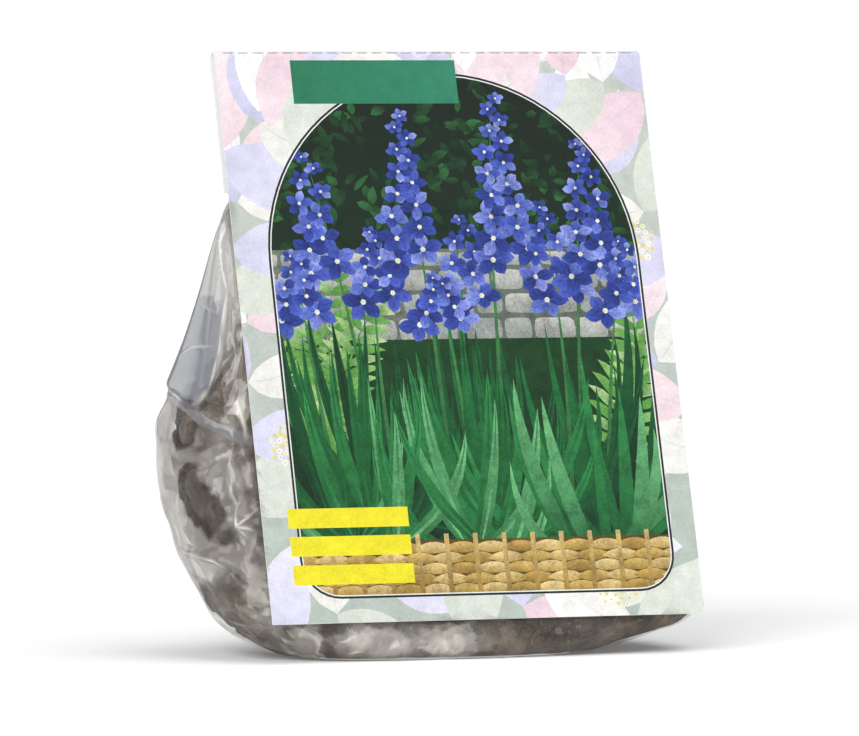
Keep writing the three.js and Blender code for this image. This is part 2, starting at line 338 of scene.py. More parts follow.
def along_path(path, share):
    """A point of the smooth curve through the path's points, at a share of the way from 0 to 1."""
    place = share * (len(path) - 1)
    k = min(int(place), len(path) - 2)
    t = place - k
    a, b, c, d = (Vector(path[min(max(k + i, 0), len(path) - 1)]) for i in (-1, 0, 1, 2))
    square, cube = 2 * a - 5 * b + 4 * c - d, 3 * b - a - 3 * c + d
    return 0.5 * (2 * b + (c - a) * t + square * t * t + cube * t ** 3)


def limb(path, thick, thin, cut, seed):
    """A root or leaf base as a bevelled curve made mesh. Roots are pinched where they shrank."""
    curve = bpy.data.curves.new("limb", "CURVE")
    curve.dimensions = "3D"
    curve.bevel_depth = MM
    curve.bevel_resolution = 5
    curve.use_fill_caps = True
    line = curve.splines.new("POLY")
    line.points.add(ROOT_STEPS)
    for k in range(ROOT_STEPS + 1):
        share = k / ROOT_STEPS
        place = in_pouch(along_path(path, share))
        sway = [noise.noise(place * 90 + Vector((seed, 5.3 * axis, 0))) for axis in range(3)]
        wobble = Vector(sway) * ROOT_SWAY * MM * min(1, share * 4)
        pinch = 1 + 0.11 * noise.noise(place * 420 + Vector((0, seed, 0))) + 0.06 * math.sin(k * 2.1 + seed)
        end = 1 if cut else math.sqrt(1 - share ** 7 * 0.95)
        line.points[k].co = (*(place + wobble), 1)
        line.points[k].radius = (thick + (thin - thick) * share) * (1 if cut else pinch * 0.94) * end
    new_piece("limb", curve)
    bpy.ops.object.convert(target="MESH")
    return bpy.context.object


def roughen(piece, octaves):
    """Moves each point of a piece along its normal by layers of noise: (height, size, seed)."""
    places = points_of(piece)
    rise = np.zeros(len(places))
    for height, size, seed in octaves:
        offset = Vector((seed, seed * 0.7, -seed))
        rise += height * np.array([noise.noise(Vector(p) / size + offset) for p in places])
    set_points(piece, places + normals_of(piece) * rise[:, None])


# Root skin: a thin matt bark, fawn to pinkish brown, wrinkled, with damp dark peat left in its folds.
root_skin = earthen(
    "dried_fleshy_root_skin",
    clouds=(11.76, 4, 0.6),
    grit=(1.613, 4, 0.7),
    tones=((0.36, "#352c27"), (0.5, "#55483f"), (0.66, "#7b6a5e")),
    flecks=(0.47, 0.6, 0.8, "#2f2620"),
    relief=(0.6, 0.0004),
    roughness=0.68,
)

crowns = []
for number, (name, (heart, roots, leaves)) in enumerate(CROWNS.items()):
    middle, size = heart
    bpy.ops.mesh.primitive_uv_sphere_add(segments=40, ring_count=24, radius=MM, location=in_pouch(middle))
    knob = bpy.context.object
    knob.scale = size
    bpy.ops.object.transform_apply(location=True, rotation=False, scale=True)
    limbs = [limb(*root, False, number * 10 + k) for k, root in enumerate(roots)]
    limbs += [limb(*leaf, True, number * 10 + k + 7) for k, leaf in enumerate(leaves)]
    select_only(*limbs, knob)
    bpy.ops.object.join()
    crown = bpy.context.object
    crown.name = name + "_roots"
    modify(crown, "REMESH", mode="VOXEL", voxel_size=ROOT_VOXEL, use_smooth_shade=True)
    roughen(crown, ((0.0011, 0.0042, number), (0.0005, 0.0014, number + 5)))
    crown.data.materials.clear()
    crown.data.materials.append(root_skin)
    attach(crown, "root")
    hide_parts(name)
    crowns.append(crown)


# ---------------------------------------------------------------------------------------------
# Peat.
# Coarse moist sphagnum peat, packed around the roots: a loose lumpy body with crumbs and pale
# fibres on it. The pouch's own levels give the space that it fills.
# ---------------------------------------------------------------------------------------------
MOUTH_HALF_WIDTH = 73
MOUTH_START, MOUTH_BACK = 1.6, 2.8  # behind the card's face
CARD_LIFT = 13  # of the card's lower edge, above the table
FLAP_EDGE = 152.6
MOUTH_TOP = 195.2
FILL_LEVEL = 111


def card_plane(z, behind):
    """How far back the plane lies at a height: the one that is that much behind the card's face."""
    return (z - CARD_LIFT) * math.tan(CARD_LEAN) + behind / math.cos(CARD_LEAN)


# Height, reach to the left and right, to the front and back, and how boxy the outline is. The
# contents have slipped to the left.
LEVELS = [
    (0, 61, 44, 1, 64, 2.8),
    (3, 68, 54, -1, 64, 3),
    (8, 77, 74, -1.5, 64.5, 3.4),
]
for z, left, right, depth in (
    (14, 83, 80.5, 66), (23, 86.5, 81, 66), (33, 91, 81, 67), (46, 93.5, 81, 68),
    (60, 95.5, 81, 68.5), (74, 94.5, 81, 67), (86, 91, 81, 62), (102, 86, 79.5, 48),
    (118, 82.5, 78, 32), (135, 79.5, 76, 15), (146, 76.5, 75.5, 5.5),
):
    LEVELS.append((z, left, right, card_plane(z, MOUTH_START) - 4, card_plane(z, 0) + depth, 4))
for z in (FLAP_EDGE - 2, MOUTH_TOP):
    mouth = (MOUTH_HALF_WIDTH, MOUTH_HALF_WIDTH, card_plane(z, MOUTH_START), card_plane(z, MOUTH_BACK))
    LEVELS.append((z, *mouth, 8))
LEVELS = np.array(LEVELS, float)
ROUNDING = 2.0  # millimetres over which one level eases into the next


def level_at(z):
    """The pouch's reaches at a height, eased from level to level."""
    near = np.linspace(-2, 2, 9)
    share = np.exp(-near ** 2)
    heights = np.clip(z + near * ROUNDING * min(1, z / 4), 0, MOUTH_TOP)
    totals = [np.sum(np.interp(heights, LEVELS[:, 0], LEVELS[:, k]) * share) for k in range(1, 6)]
    return [float(total / share.sum()) for total in totals]


def pouch_ring(z, count, inset=0.0, shrink=1.0):
    """Evenly spaced points of the pouch's outline at a height, from its back middle round to the left."""
    left, right, front, back, square = level_at(z)
    turn = np.linspace(0, math.tau, 1441)
    half_wide, half_deep = (left + right) / 2 - inset, max((back - front) / 2 - inset, 0.3)
    across, deep = -np.sin(turn), np.cos(turn)
    x = (right - left) / 2 + half_wide * shrink * np.sign(across) * np.abs(across) ** (2 / square)
    y = (front + back) / 2 + half_deep * shrink * np.sign(deep) * np.abs(deep) ** (2 / square)
    y = np.maximum(y, card_plane(z, MOUTH_START + inset))
    path = np.concatenate(([0], np.cumsum(np.hypot(np.diff(x), np.diff(y)))))
    at = np.linspace(0, path[-1], count, endpoint=False)
    return np.stack((np.interp(at, path, x), np.interp(at, path, y), np.full(count, float(z))), axis=1)


def skin(name, rings):
    """A closed mesh over rings of points in millimetres, with a middle point in its first and last."""
    count = len(rings[0])
    places = np.concatenate([*rings, rings[0].mean(axis=0)[None], rings[-1].mean(axis=0)[None]])
    places = places * MM + np.array(card_foot)
    step = np.arange(count)
    following = (step + 1) % count
    faces = []
    for k in range(len(rings) - 1):
        low, high = k * count, (k + 1) * count
        faces += np.stack((low + step, low + following, high + following, high + step), axis=1).tolist()
    foot, last = len(rings) * count, (len(rings) - 1) * count
    faces += [(foot, b, a) for a, b in zip(step.tolist(), following.tolist())]
    faces += [(foot + 1, last + a, last + b) for a, b in zip(step.tolist(), following.tolist())]
    mesh = bpy.data.meshes.new(name)
    mesh.from_pydata(places.tolist(), [], faces)
    piece = new_piece(name, mesh)
    bpy.ops.object.shade_smooth()
    return piece


PEAT_COLUMNS = 340
PEAT_ROW = 1.35  # millimetres from one ring of points to the next
PEAT_FOOT = 0.7  # where the first ring lies
PEAT_FOOT_INSET, PEAT_INSET = 1.1, 2.8  # how far the packing stays inside the pouch's skin

# Where the packing stands back from the film (+) or a lump of it presses on the film (-): middle of
# the place, its reach each way, and how deep it goes.
HOLLOWS = (
    ((-93, 48, 62), (10, 16, 12), 3),
    ((-92, 42, 45), (9, 14, 12), 3),
    ((-84, 30, 84), (8, 8, 8), -6),
    ((-88, 26, 66), (9, 9, 7), 5),
    ((-82, 17, 52), (8, 9, 11), 5),
    ((-88, 28, 31), (8, 13, 6), 5),
    ((-77, 12, 27), (6, 7, 13), 3),
    ((-83, 26, 15), (11, 16, 8), -7),
    ((-76, 30, 100), (10, 9, 16), -7),
    ((-61, 6, 6), (6, 7, 7), 3),
    ((-44, 1, 8), (18, 6, 6), 4.5),
    ((-17, 0, 7), (12, 6, 6), 5),
    ((38, 0, 7), (44, 9, 12), -5),
    ((72, 12, 12), (14, 18, 12), -8),
)


def stood_back(ring):
    """A ring of the packing, set further in where the pouch hangs loose on the left and at hollows."""
    x, y, z = ring.T
    middle = np.array((np.mean(x), np.mean(y), np.mean(z)))
    left = np.clip((-x - 56) / 18, 0, 1)
    ear = np.clip((z - 80) / 16, 0, 1) * np.clip((y - 31) / 7, 0, 1)
    low = np.clip((z - 22) / 12, 0, 1)
    ring[:, 0] += left * (2.5 * low + 9 * ear)
    inwards = (middle - ring) * (1, 1, 0)
    inwards /= np.maximum(np.linalg.norm(inwards, axis=1), 1)[:, None]
    for place, reach, depth in HOLLOWS:
        nearness = np.exp(-(((ring - place) / reach) ** 2).sum(axis=1))
        ring += inwards * (depth * nearness)[:, None]
    return ring


def peat_inset(z):
    """The packing's inset at a height: least at its foot, and more towards its rounded top."""
    grown = (PEAT_INSET - PEAT_FOOT_INSET) * min(1, max(0, (z - 1.5) / 9))
    return PEAT_FOOT_INSET + grown + 2.2 * max(0, z - FILL_LEVEL + 14) / 10


foot_inset = peat_inset(PEAT_FOOT)
rings = [pouch_ring(PEAT_FOOT, PEAT_COLUMNS, foot_inset, share) for share in (0.12, 0.3, 0.5, 0.7, 0.88)]
for z in np.arange(PEAT_FOOT, FILL_LEVEL - 4, PEAT_ROW):
    rings.append(pouch_ring(float(z), PEAT_COLUMNS, peat_inset(z)))
for k, share in enumerate((0.97, 0.92, 0.84, 0.74, 0.62, 0.5, 0.38, 0.26, 0.14)):
    rings.append(pouch_ring(FILL_LEVEL - 3 + 0.35 * k, PEAT_COLUMNS, PEAT_INSET + 2.2, share))
rings = [stood_back(ring) for ring in rings]
peat = skin("packed_peat", rings)
settled = np.concatenate(rings)
roughen(peat, ((0.0042, 0.013, 3), (0.0026, 0.0048, 9), (0.0014, 0.0019, 14)))
for vert in peat.data.vertices:
    if vert.index < len(settled):  # its own weight packs it flat towards the foot
        smooth = in_pouch(settled[vert.index])
        vert.co = smooth.lerp(vert.co, min(1, 0.1 + settled[vert.index][2] / 9))


def kept_inside(piece, inset):
    """Draws a piece's points in wherever they would come nearer to the pouch's skin than inset."""
    x, y, z = local(points_of(piece)).T
    z = np.clip(z, PEAT_FOOT, MOUTH_TOP - 1)
    left, right, front, back, square = (np.interp(z, level_heights, reach) for reach in levels.T)
    middle, centre = (right - left) / 2, (front + back) / 2
    wide, deep = (left + right) / 2 - inset, (back - front) / 2 - inset
    beyond = (np.abs((x - middle) / wide) ** square + np.abs((y - centre) / deep) ** square) ** (1 / square)
    beyond = np.maximum(beyond, 1)
    x = (x - middle) / beyond + middle
    y = np.maximum((y - centre) / beyond + centre, card_plane(z, MOUTH_START + inset))
    set_points(piece, np.stack((x, y, z), axis=1) * MM + np.array(card_foot))


level_heights = np.arange(0, MOUTH_TOP, 0.5)
levels = np.array([level_at(z) for z in level_heights])
kept_inside(peat, 1.2)
for crown in crowns:
    kept_inside(crown, 1.3)

# Peat in daylight: dark damp brown crumbs with fawn flecks of fibre, quite dull.
packed = earthen(
    "moist_sphagnum_peat",
    clouds=(7.69, 5, 0.65),
    grit=(1.111, 3, 0.7),
    tones=((0.38, "#2a211b"), (0.52, "#4d4035"), (0.66, "#75644f")),
    flecks=(0.6, 0.68, 0.7, "#a08c70"),
    relief=(0.8, 0.0006),
    roughness=0.88,
)
peat.data.materials.append(packed)
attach(peat, "root")
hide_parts("peat_fill")

# Loose crumbs and pale moss fibres that lie against the film. Each crumb is a dented lump of a few
# faces, each fibre a bent three-sided hair that follows the peat's surface.
CRUMB_COUNT = 1500
FIBRE_COUNT = 620
FIBRE_STEPS = 7
CRUMB_TONES = ("#2c231c", "#3a2f27", "#4c3e32", "#5d4e40", "#74644f")
FIBRE_TONES = ("#55463a", "#6d5a44", "#8f7b5c", "#a8936f", "#c6b592")

ground = bmesh.new()
ground.from_mesh(peat.data)
ground_tree = BVHTree.FromBMesh(ground)
ground.faces.ensure_lookup_table()
spots = [f.calc_center_median() for f in ground.faces]
headings = [f.normal.copy() for f in ground.faces]
ground.free()

pick = random.Random(7)
points, faces, tones = [], [], []
bpy.ops.mesh.primitive_ico_sphere_add(subdivisions=1, radius=1)
seed_shape = bpy.context.object
seed_points = [v.co.copy() for v in seed_shape.data.vertices]
seed_faces = [tuple(f.vertices) for f in seed_shape.data.polygons]
bpy.data.objects.remove(seed_shape)
for _ in range(CRUMB_COUNT):
    k = pick.randrange(len(spots))
    size = MM * pick.uniform(0.5, 1.25) ** 2
    turn = Matrix.Rotation(pick.uniform(0, math.tau), 3, Vector([pick.gauss(0, 1) for _ in range(3)]))
    stretch = Vector((pick.uniform(0.6, 1.5), pick.uniform(0.6, 1.2), pick.uniform(0.5, 0.9)))
    start = len(points)
    for place in seed_points:
        dented = Vector([place[i] * stretch[i] * pick.uniform(0.75, 1.15) for i in range(3)])
        points.append(spots[k] + headings[k] * 0.4 * size + turn @ dented * size)
    faces += [tuple(start + i for i in face) for face in seed_faces]
    tones += [linear(pick.choice(CRUMB_TONES))] * len(seed_faces)
for _ in range(FIBRE_COUNT):
    k = pick.randrange(len(spots))
    place, up = spots[k], headings[k]
    heading = Vector([pick.gauss(0, 1) for _ in range(3)]).cross(up).normalized()
    radius = MM * pick.uniform(0.08, 0.19)
    stride = MM * pick.uniform(0.4, 1.2)
    tone = linear(pick.choice(FIBRE_TONES))
    start = len(points)
    for step in range(FIBRE_STEPS + 1):
        near, up, _, _ = ground_tree.find_nearest(place)
        place = near + up * 0.45 * MM
        side = heading.cross(up).normalized()
        thin = radius * (1 - 0.7 * step / FIBRE_STEPS)
        for corner in range(3):
            angle = math.tau * corner / 3
            points.append(place + side * math.cos(angle) * thin + up * math.sin(angle) * thin)
        heading = (heading + side * pick.gauss(0, 0.6)).normalized()
        place = place + heading * stride
    for step in range(FIBRE_STEPS):
        a = start + step * 3
        for corner in range(3):
            b = (corner + 1) % 3
            faces.append((a + corner, a + b, a + 3 + b, a + 3 + corner))
    last = start + FIBRE_STEPS * 3
    faces += [(start + 2, start + 1, start), (last, last + 1, last + 2)]
    tones += [tone] * (FIBRE_STEPS * 3 + 2)
mesh = bpy.data.meshes.new("peat_crumbs")
mesh.from_pydata(points, [], faces)
layer = mesh.color_attributes.new("tone", "FLOAT_COLOR", "CORNER")
layer.data.foreach_set("color", np.repeat(np.array(tones), [len(face) for face in faces], axis=0).ravel())
crumbs = new_piece("peat_crumbs", mesh)
bpy.ops.object.mode_set(mode="EDIT")
bpy.ops.mesh.select_all(action="SELECT")
bpy.ops.mesh.normals_make_consistent(inside=False)
bpy.ops.object.mode_set(mode="OBJECT")
kept_inside(crumbs, 1.1)

# The crumbs' own tones, from damp black to dry fawn moss, with the same dull broken surface.
loose_peat, tree = new_material("peat_crumbs_and_moss_fibre")
place = add(tree, "TexCoord").outputs["Object"]
own = add(tree, "VertexColor", layer_name="tone")
mottle = add(tree, "TexNoise", {"Vector": place}, Scale=scale_of(0.909), Detail=3)
mottled = {0: 0.6, 6: own.outputs["Color"], 7: mottle.outputs["Color"]}
mixed = add(tree, "Mix", mottled, data_type="RGBA", blend_type="SOFT_LIGHT")
bump = add(tree, "Bump", {"Height": mottle}, Strength=0.6, Distance=0.0003)
shader = add(tree, "BsdfPrincipled", {"Base Color": mixed.outputs[2], "Normal": bump}, Roughness=0.85)
add(tree, "OutputMaterial", {"Surface": shader})
crumbs.data.materials.append(loose_peat)
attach(crumbs, "root")


# ---------------------------------------------------------------------------------------------
# Film pouch.
# Clear cast polypropylene, 40 microns, folded in at the sides and sealed flat at the mouth. It
# bridges from lump to lump of what it holds, flat between its creases, and is punched with vents.
# ---------------------------------------------------------------------------------------------
FILM_COLUMNS = 178
FILM_STEP = 2.8
FILM_INSET = 0.7
SLACK = 0.10  # how much wider the film is than the space that it is drawn around
BROAD_CRINKLE = 0.4  # how high the broad crinkle stands, laid over the settled film
FLATTENED = 0.85  # of the way onto the flat facets between creases
SINK, SINK_LEFT = 5.5, 3.0  # millimetres that the film may move as it settles
BULGE, BULGE_RIGHT = 0.9, 0.2  # and how much of that may be outwards
CORE_VOXEL = 0.0026
SETTLING_FRAMES = 20
# How the solver holds the film: thin and limp, hard to stretch, and drawn in by the missing air.
FILM_CLOTH = {
    "quality": 8,
    "mass": 0.1,
    "tension_stiffness": 20,
    "compression_stiffness": 20,
    "shear_stiffness": 8,
    "bending_stiffness": 0.01,
    "bending_damping": 0.5,
    "shrink_min": -SLACK,
    "use_pressure": True,
    "uniform_pressure_force": -3,
    "vertex_group_mass": "held",
}

# The folds that stand out. Each has a line on the film, its height and half width in millimetres, and how
# much its crease whitens, which is stress whitening and a painted highlight along the fold.
FOLDS = (
    (((-75.9, 45.6, 144.6), (-75.8, 39.6, 126.4), (-80.2, 36.7, 106.9), (-83.7, 34.2, 93.4)), 0.5, 0.9, 0.9),
    (((-83.7, 34.2, 93.4), (-86, 33.4, 88), (-89.8, 36, 81.8)), 0.5, 0.8, 0.9),
    (((-89.8, 36, 81.8), (-91, 48, 83.6), (-90.5, 63.8, 86.6)), 0.4, 0.8, 0.7),
    (((-76.6, 44, 141), (-76.2, 38.5, 124), (-79, 35.6, 108)), 0.4, 0.8, 0.4),
    (((-85, 56, 116), (-82.3, 42.7, 113.6), (-79.8, 37.9, 111.5)), 0.2, 0.7, 0.35),
    (((-86.8, 60, 97.5), (-86, 50, 100.6), (-85.5, 43, 101), (-83, 37, 101.5)), 0.2, 0.7, 0.45),
    (((-76, 36, 113), (-78.3, 34, 104), (-77.6, 32, 99), (-79.8, 30.6, 92), (-78, 28.6, 88)), 0.6, 0.8, 1.0),
    (((-78, 28.6, 88), (-77.6, 26.6, 83), (-77.2, 23.8, 76.5), (-76.6, 22, 72)), 0.6, 1.5, 1.0),
    (((-79.8, 30.6, 92), (-82.4, 30.4, 88), (-82, 28.4, 83)), 0.5, 0.9, 0.8),
    (((-74.6, 34, 108), (-75.6, 32, 101), (-74.6, 29.6, 95)), 0.4, 0.8, 0.8),
    (((-82.6, 24, 70), (-84, 22, 62), (-83.6, 19.5, 54), (-82, 17.5, 50)), 0.9, 1.1, 0.9),
    (((-82.4, 17.2, 50.5), (-82.4, 15.6, 43.5)), 0.6, 0.8, 0.9),
    (((-82.4, 15.6, 43.5), (-75, 14.5, 50)), 0.6, 0.7, 0.9),
    (((-82.4, 15.6, 43.5), (-76, 13, 42)), 0.6, 0.7, 0.9),
    (((-82.4, 15.6, 43.5), (-77, 12.6, 37)), 0.4, 0.8, 0.5),
    (((-76, 12.4, 43), (-78.2, 11.6, 37)), 0.6, 0.9, 1.0),
    (((-92.6, 52, 68), (-93.2, 42, 60), (-92.8, 33, 52), (-91, 27, 46)), 0.5, 1.2, 0.1),
    (((-93.4, 46, 49), (-92.3, 45, 43), (-91.4, 44, 37.5)), 0.9, 1.6, 0.9),
    (((-92.4, 40, 41), (-91.4, 36, 38), (-90.9, 30, 37)), 0.5, 1.2, 0.7),
    (
        ((-90.6, 47, 33.8), (-90.4, 33.1, 34.2), (-88.4, 21.1, 32.4), (-85.4, 16.7, 28.9), (-83, 14, 26)),
        0.9, 0.9, 0.75,
    ),
    (((-79, 12, 37), (-80.6, 11, 28), (-78.4, 9, 19)), 0.8, 0.9, 0.45),
    (((-84, 24, 17.4), (-80, 12, 18.6), (-77.4, 9, 17)), 0.6, 1.0, 0.6),
    (((-84, 34, 14), (-81, 22, 12.5), (-77, 11, 12)), 0.6, 1.0, 0.6),
    (((-80, 34, 9), (-76, 17, 9), (-74, 11, 5)), 0.6, 0.9, 0.6),
    (((-68, 6, 10), (-64.4, 4, 11), (-58, 2.4, 11.8)), 0.5, 0.9, 0.6),
    (((-56.3, 2, 6.6), (-48, 1.4, 8.4), (-41, 1.4, 9)), 0.6, 1.0, 0.8),
    (((-50, 4, 1.6), (-46, 2.7, 3.6), (-41, 2, 4.4)), 0.6, 1.0, 0.9),
    (((-35, 1, 2.4), (-30, 0.6, 5.4), (-24, 0.6, 8.4), (-17, 1.2, 10.4)), 0.6, 0.9, 0.6),
    (((-28, 0.4, 11.3), (-19, 1, 12), (-9, 1.6, 12.6)), 0.4, 0.8, 0.6),
    (((20, 0.5, 4), (34, 1, 7), (48, 3, 8), (66, 9, 10)), 0.4, 0.8, 0.1),
)
# Bands where the film lies doubled: middle line, half width, and how much it shows. The first is a
# strap across the left side, the second a narrow pleat below it.
BANDS = (
    (((-91.4, 61, 84.4), (-89.4, 32.4, 78.4), (-81.1, 23.6, 72.6), (-75.6, 21.6, 71.4)), 1.8, 0.7),
    (
        (
            (-88.4, 27, 69), (-87.4, 24.3, 62), (-86, 21.2, 55), (-84.6, 18.6, 49.6), (-82.4, 15.8, 43),
            (-80, 13, 38.5),
        ), 1.8, 0.3,
    ),
)
# Painted highlight patches, where the film is creased all over and its facets are painted pale as if they
# caught the light: middle of the place, its reach, how much, and how evenly from facet to facet.
PAINTED_HIGHLIGHT_PATCHES = (
    ((-77, 28, 88), (4, 7, 15), 0.7, 0.4),
    ((-92.3, 43, 43), (5, 5, 8), 0.75, 0.35),
    ((-88.8, 32, 28.6), (6, 14, 4), 0.45, 0.6),
    ((-79, 22, 60), (5, 6, 8), 0.18, 0.9),
    ((-77.6, 10, 27), (4, 4, 12), 0.46, 0.85),
    ((-81, 20, 14), (9, 14, 5), 0.5, 0.15),
    ((-61.5, 8, 5.5), (6, 8, 7), 0.85, 0.9),
    ((-40, 1.5, 6), (16, 5, 6), 0.5, 0.85),
    ((-14, 0.5, 6), (12, 5, 5.5), 0.72, 0.75),
    ((0, 0.5, 8), (10, 4, 5), 0.45, 0.2),
    ((-78, 42, 128), (7, 10, 16), 0.6, 0.55),
)
# The empty ear at the upper left: the height of its foot, and its front edge, as height and how
# far back.
EAR_FOOT = 81.5
EAR_EDGE = np.array(((EAR_FOOT, 36.5),(88, 33.6), (93.4, 34.3), (106.9, 36.7), (126.4, 39.6), (144.6, 45.6)))

rings = [pouch_ring(0, FILM_COLUMNS, FILM_INSET, share) for share in (0.1, 0.32, 0.54, 0.75, 0.9)]
for z in (0, 1.1, 2.8, 5, *np.arange(7.6, MOUTH_TOP, FILM_STEP), MOUTH_TOP):
    rings.append(pouch_ring(float(z), FILM_COLUMNS, FILM_INSET if z < FLAP_EDGE - 8 else 0))
film = skin("film_pouch", rings)


def ramp(values, start, end):
    """0 where values are at start or short of it, 1 from end on, and smooth between."""
    share = np.clip((values - start) / (end - start), 0, 1)
    return share * share * (3 - 2 * share)


def near_line(points, line):
    """How far each point is from a line through the given points, and how far along it, 0 to 1."""
    line = np.array(line, float)
    lengths = np.linalg.norm(np.diff(line, axis=0), axis=1)
    best, share, passed = np.full(len(points), 1e9), np.zeros(len(points)), 0
    for a, b, length in zip(line, line[1:], lengths):
        along = np.clip((points - a) @ (b - a) / length ** 2, 0, 1)
        away = np.linalg.norm(points - (a + along[:, None] * (b - a)), axis=1)
        closer = away < best
        best[closer] = away[closer]
        share[closer] = (passed + along[closer] * length) / lengths.sum()
        passed += length
    return best, share


def crinkles(points, size, seed, families=7):
    """Sharp-edged facets: zigzag waves that cross in many directions, each only here and there."""
    pick = random.Random(seed)
    total = np.zeros(len(points))
    bent = points + size * 0.35 * np.sin(points[:, [1, 2, 0]] / size * 1.7 + seed)
    for _ in range(families):
        way = Vector((pick.gauss(0, 1), pick.gauss(0, 1), pick.gauss(0, 1))).normalized()
        wave = bent @ np.array(way) / size + pick.uniform(0, 9)
        zigzag = np.abs((wave % 2) - 1) * 2 - 1
        where = bent @ np.array(way.orthogonal()) / (size * 2.6) + pick.uniform(0, 9)
        total += zigzag * (0.5 + 0.5 * np.sin(where * math.pi))
    return total / math.sqrt(families)


def ear_of(spots):
    """1 on the ear, where the side fold lies doubled and flat, and 0 off it."""
    x, y, z = spots.T
    front = np.interp(z, *EAR_EDGE.T)
    foot = EAR_FOOT + 0.18 * np.maximum(y - 37, 0)
    below_mouth = 1 - ramp(z, FLAP_EDGE - 12, FLAP_EDGE - 2)
    return ramp(-x, 70, 73) * ramp(z - foot, -0.5, 0.5) * ramp(y - front, -0.5, 0.5) * below_mouth


# The air is drawn out and the film, a tenth too wide, settles on what it holds. Where each point
# lay on the smooth pouch is kept, in millimetres, and tells afterwards which part of it this is.
drawn, outwards = points_of(film), normals_of(film)
pouch_place = film.data.attributes.new("pouch_place", "FLOAT_VECTOR", "POINT")
pouch_place.data.foreach_set("vector", local(drawn).ravel())
x, y, z = local(drawn).T
held = np.maximum(ramp(z, FLAP_EDGE - 8, FLAP_EDGE - 3), 1 - ramp(z, 0.5, 3))
held = np.maximum(held, 0.9 * (y < card_plane(z, MOUTH_START + 1.6)) * (z > 11))
select_only(peat, *crowns)
bpy.ops.object.duplicate()
bpy.ops.object.join()
core = bpy.context.object
modify(core, "REMESH", mode="VOXEL", voxel_size=CORE_VOXEL)
modify(core, "SMOOTH", iterations=2)
core.modifiers.new("solid", "COLLISION")
core.collision.thickness_outer = 0.0012
core.collision.cloth_friction = 3

pins = film.vertex_groups.new(name="held")
for k in np.flatnonzero(held > 0.01):
    pins.add([int(k)], float(held[k]), "REPLACE")
cloth = film.modifiers.new("slack_film", "CLOTH")
for key, value in FILM_CLOTH.items():
    setattr(cloth.settings, key, value)
cloth.settings.effector_weights.gravity = 0
cloth.collision_settings.collision_quality = 3
cloth.collision_settings.distance_min = 0.0008
for moment in range(1, SETTLING_FRAMES + 1):
    scene.frame_set(moment)
select_only(film)
bpy.ops.object.modifier_apply(modifier="slack_film")
scene.frame_set(1)
bpy.data.objects.remove(core)

# It keeps the pouch's measured outline: no point goes far in, it bulges out by a millimetre
# at most, and the ear stays flat.
moved = points_of(film) - drawn
length = np.linalg.norm(moved, axis=1)
most = (SINK - (SINK - SINK_LEFT) * ramp(-x, 70, 90)) * MM
moved *= (most * np.tanh(length / most) / np.maximum(length, 1e-9))[:, None]
bulge = (moved * outwards).sum(axis=1)
allowed = np.where(x > 50, BULGE_RIGHT, BULGE) * MM
spare = np.maximum(bulge, 0) - allowed * np.tanh(np.maximum(bulge, 0) / allowed)
moved -= outwards * spare[:, None]
set_points(film, drawn + moved * (1 - ear_of(local(drawn)))[:, None])

modify(film, "SUBSURF", levels=1, render_levels=1)


def cut_finer(wanted, smooth):
    """Cuts each edge in two where the function of the edges' middles, on the smooth pouch, says so."""
    mesh = bmesh.new()
    mesh.from_mesh(film.data)
    layer = mesh.verts.layers.float_vector["pouch_place"]
    edges = list(mesh.edges)
    middles = np.array([(edge.verts[0][layer] + edge.verts[1][layer]) / 2 for edge in edges])
    chosen = [edges[k] for k in np.flatnonzero(wanted(middles))]
    bmesh.ops.subdivide_edges(mesh, edges=chosen, cuts=1, use_grid_fill=True, smooth=smooth)
    mesh.to_mesh(film.data)
    mesh.free()


def loose_or_under(middles):
    """The loose left side, and the band of film that shows under the card."""
    x, y, z = middles.T
    return ((x < -70) & (z > 4) & (z < 150) & (y < 66)) | ((z > 0.5) & (z < 14) & (y < 10))


def at_a_crease(middles):
    """Along the folds, and along the edges of the doubled bands and of the ear."""
    edges = np.full(len(middles), 1e9)
    for line, _, width, _ in FOLDS:
        edges = np.minimum(edges, near_line(middles, line)[0] - width)
    for line, half, _ in BANDS:
        edges = np.minimum(edges, np.abs(near_line(middles, line)[0] - half))
    return edges < 0.5


# The parts that carry the finest creases are cut finer, and the creases themselves finer still.
cut_finer(loose_or_under, 0.6)
cut_finer(at_a_crease, 0)
select_only(film)
bpy.ops.object.shade_smooth()

places, normals = points_of(film), normals_of(film)
spots = rows_of(film.data.attributes["pouch_place"].data, "vector")
x, y, z = spots.T
mouth = ramp(z, FLAP_EDGE - 14, FLAP_EDGE - 4)
behind_card = ramp(card_plane(z, MOUTH_START + 2.2) - y, 0, 1.5) * ramp(z, 8, 14)
free = (1 - mouth) * ramp(z, 0.6, 5) * (1 - behind_card)
ear = ear_of(spots)
rise = BROAD_CRINKLE * crinkles(spots, 23, 5) + 0.6 * crinkles(spots, 9.5, 17) - 0.2
rise *= free * (1 - 0.93 * ear)
set_points(film, places + normals * (rise * MM)[:, None])

# Film doesn't stretch, so it lies flat from crease to crease: its points are drawn most of the way
# onto the faces of a coarse copy of itself.
FACET_SHARE = 0.04  # of the faces that the coarse copy keeps
select_only(film)
bpy.ops.object.duplicate()
coarse = bpy.context.object
modify(coarse, "DECIMATE", ratio=FACET_SHARE)
facets = bmesh.new()
facets.from_mesh(coarse.data)
facets.faces.ensure_lookup_table()
centres = local(np.array([face.calc_center_median() for face in facets.faces]))
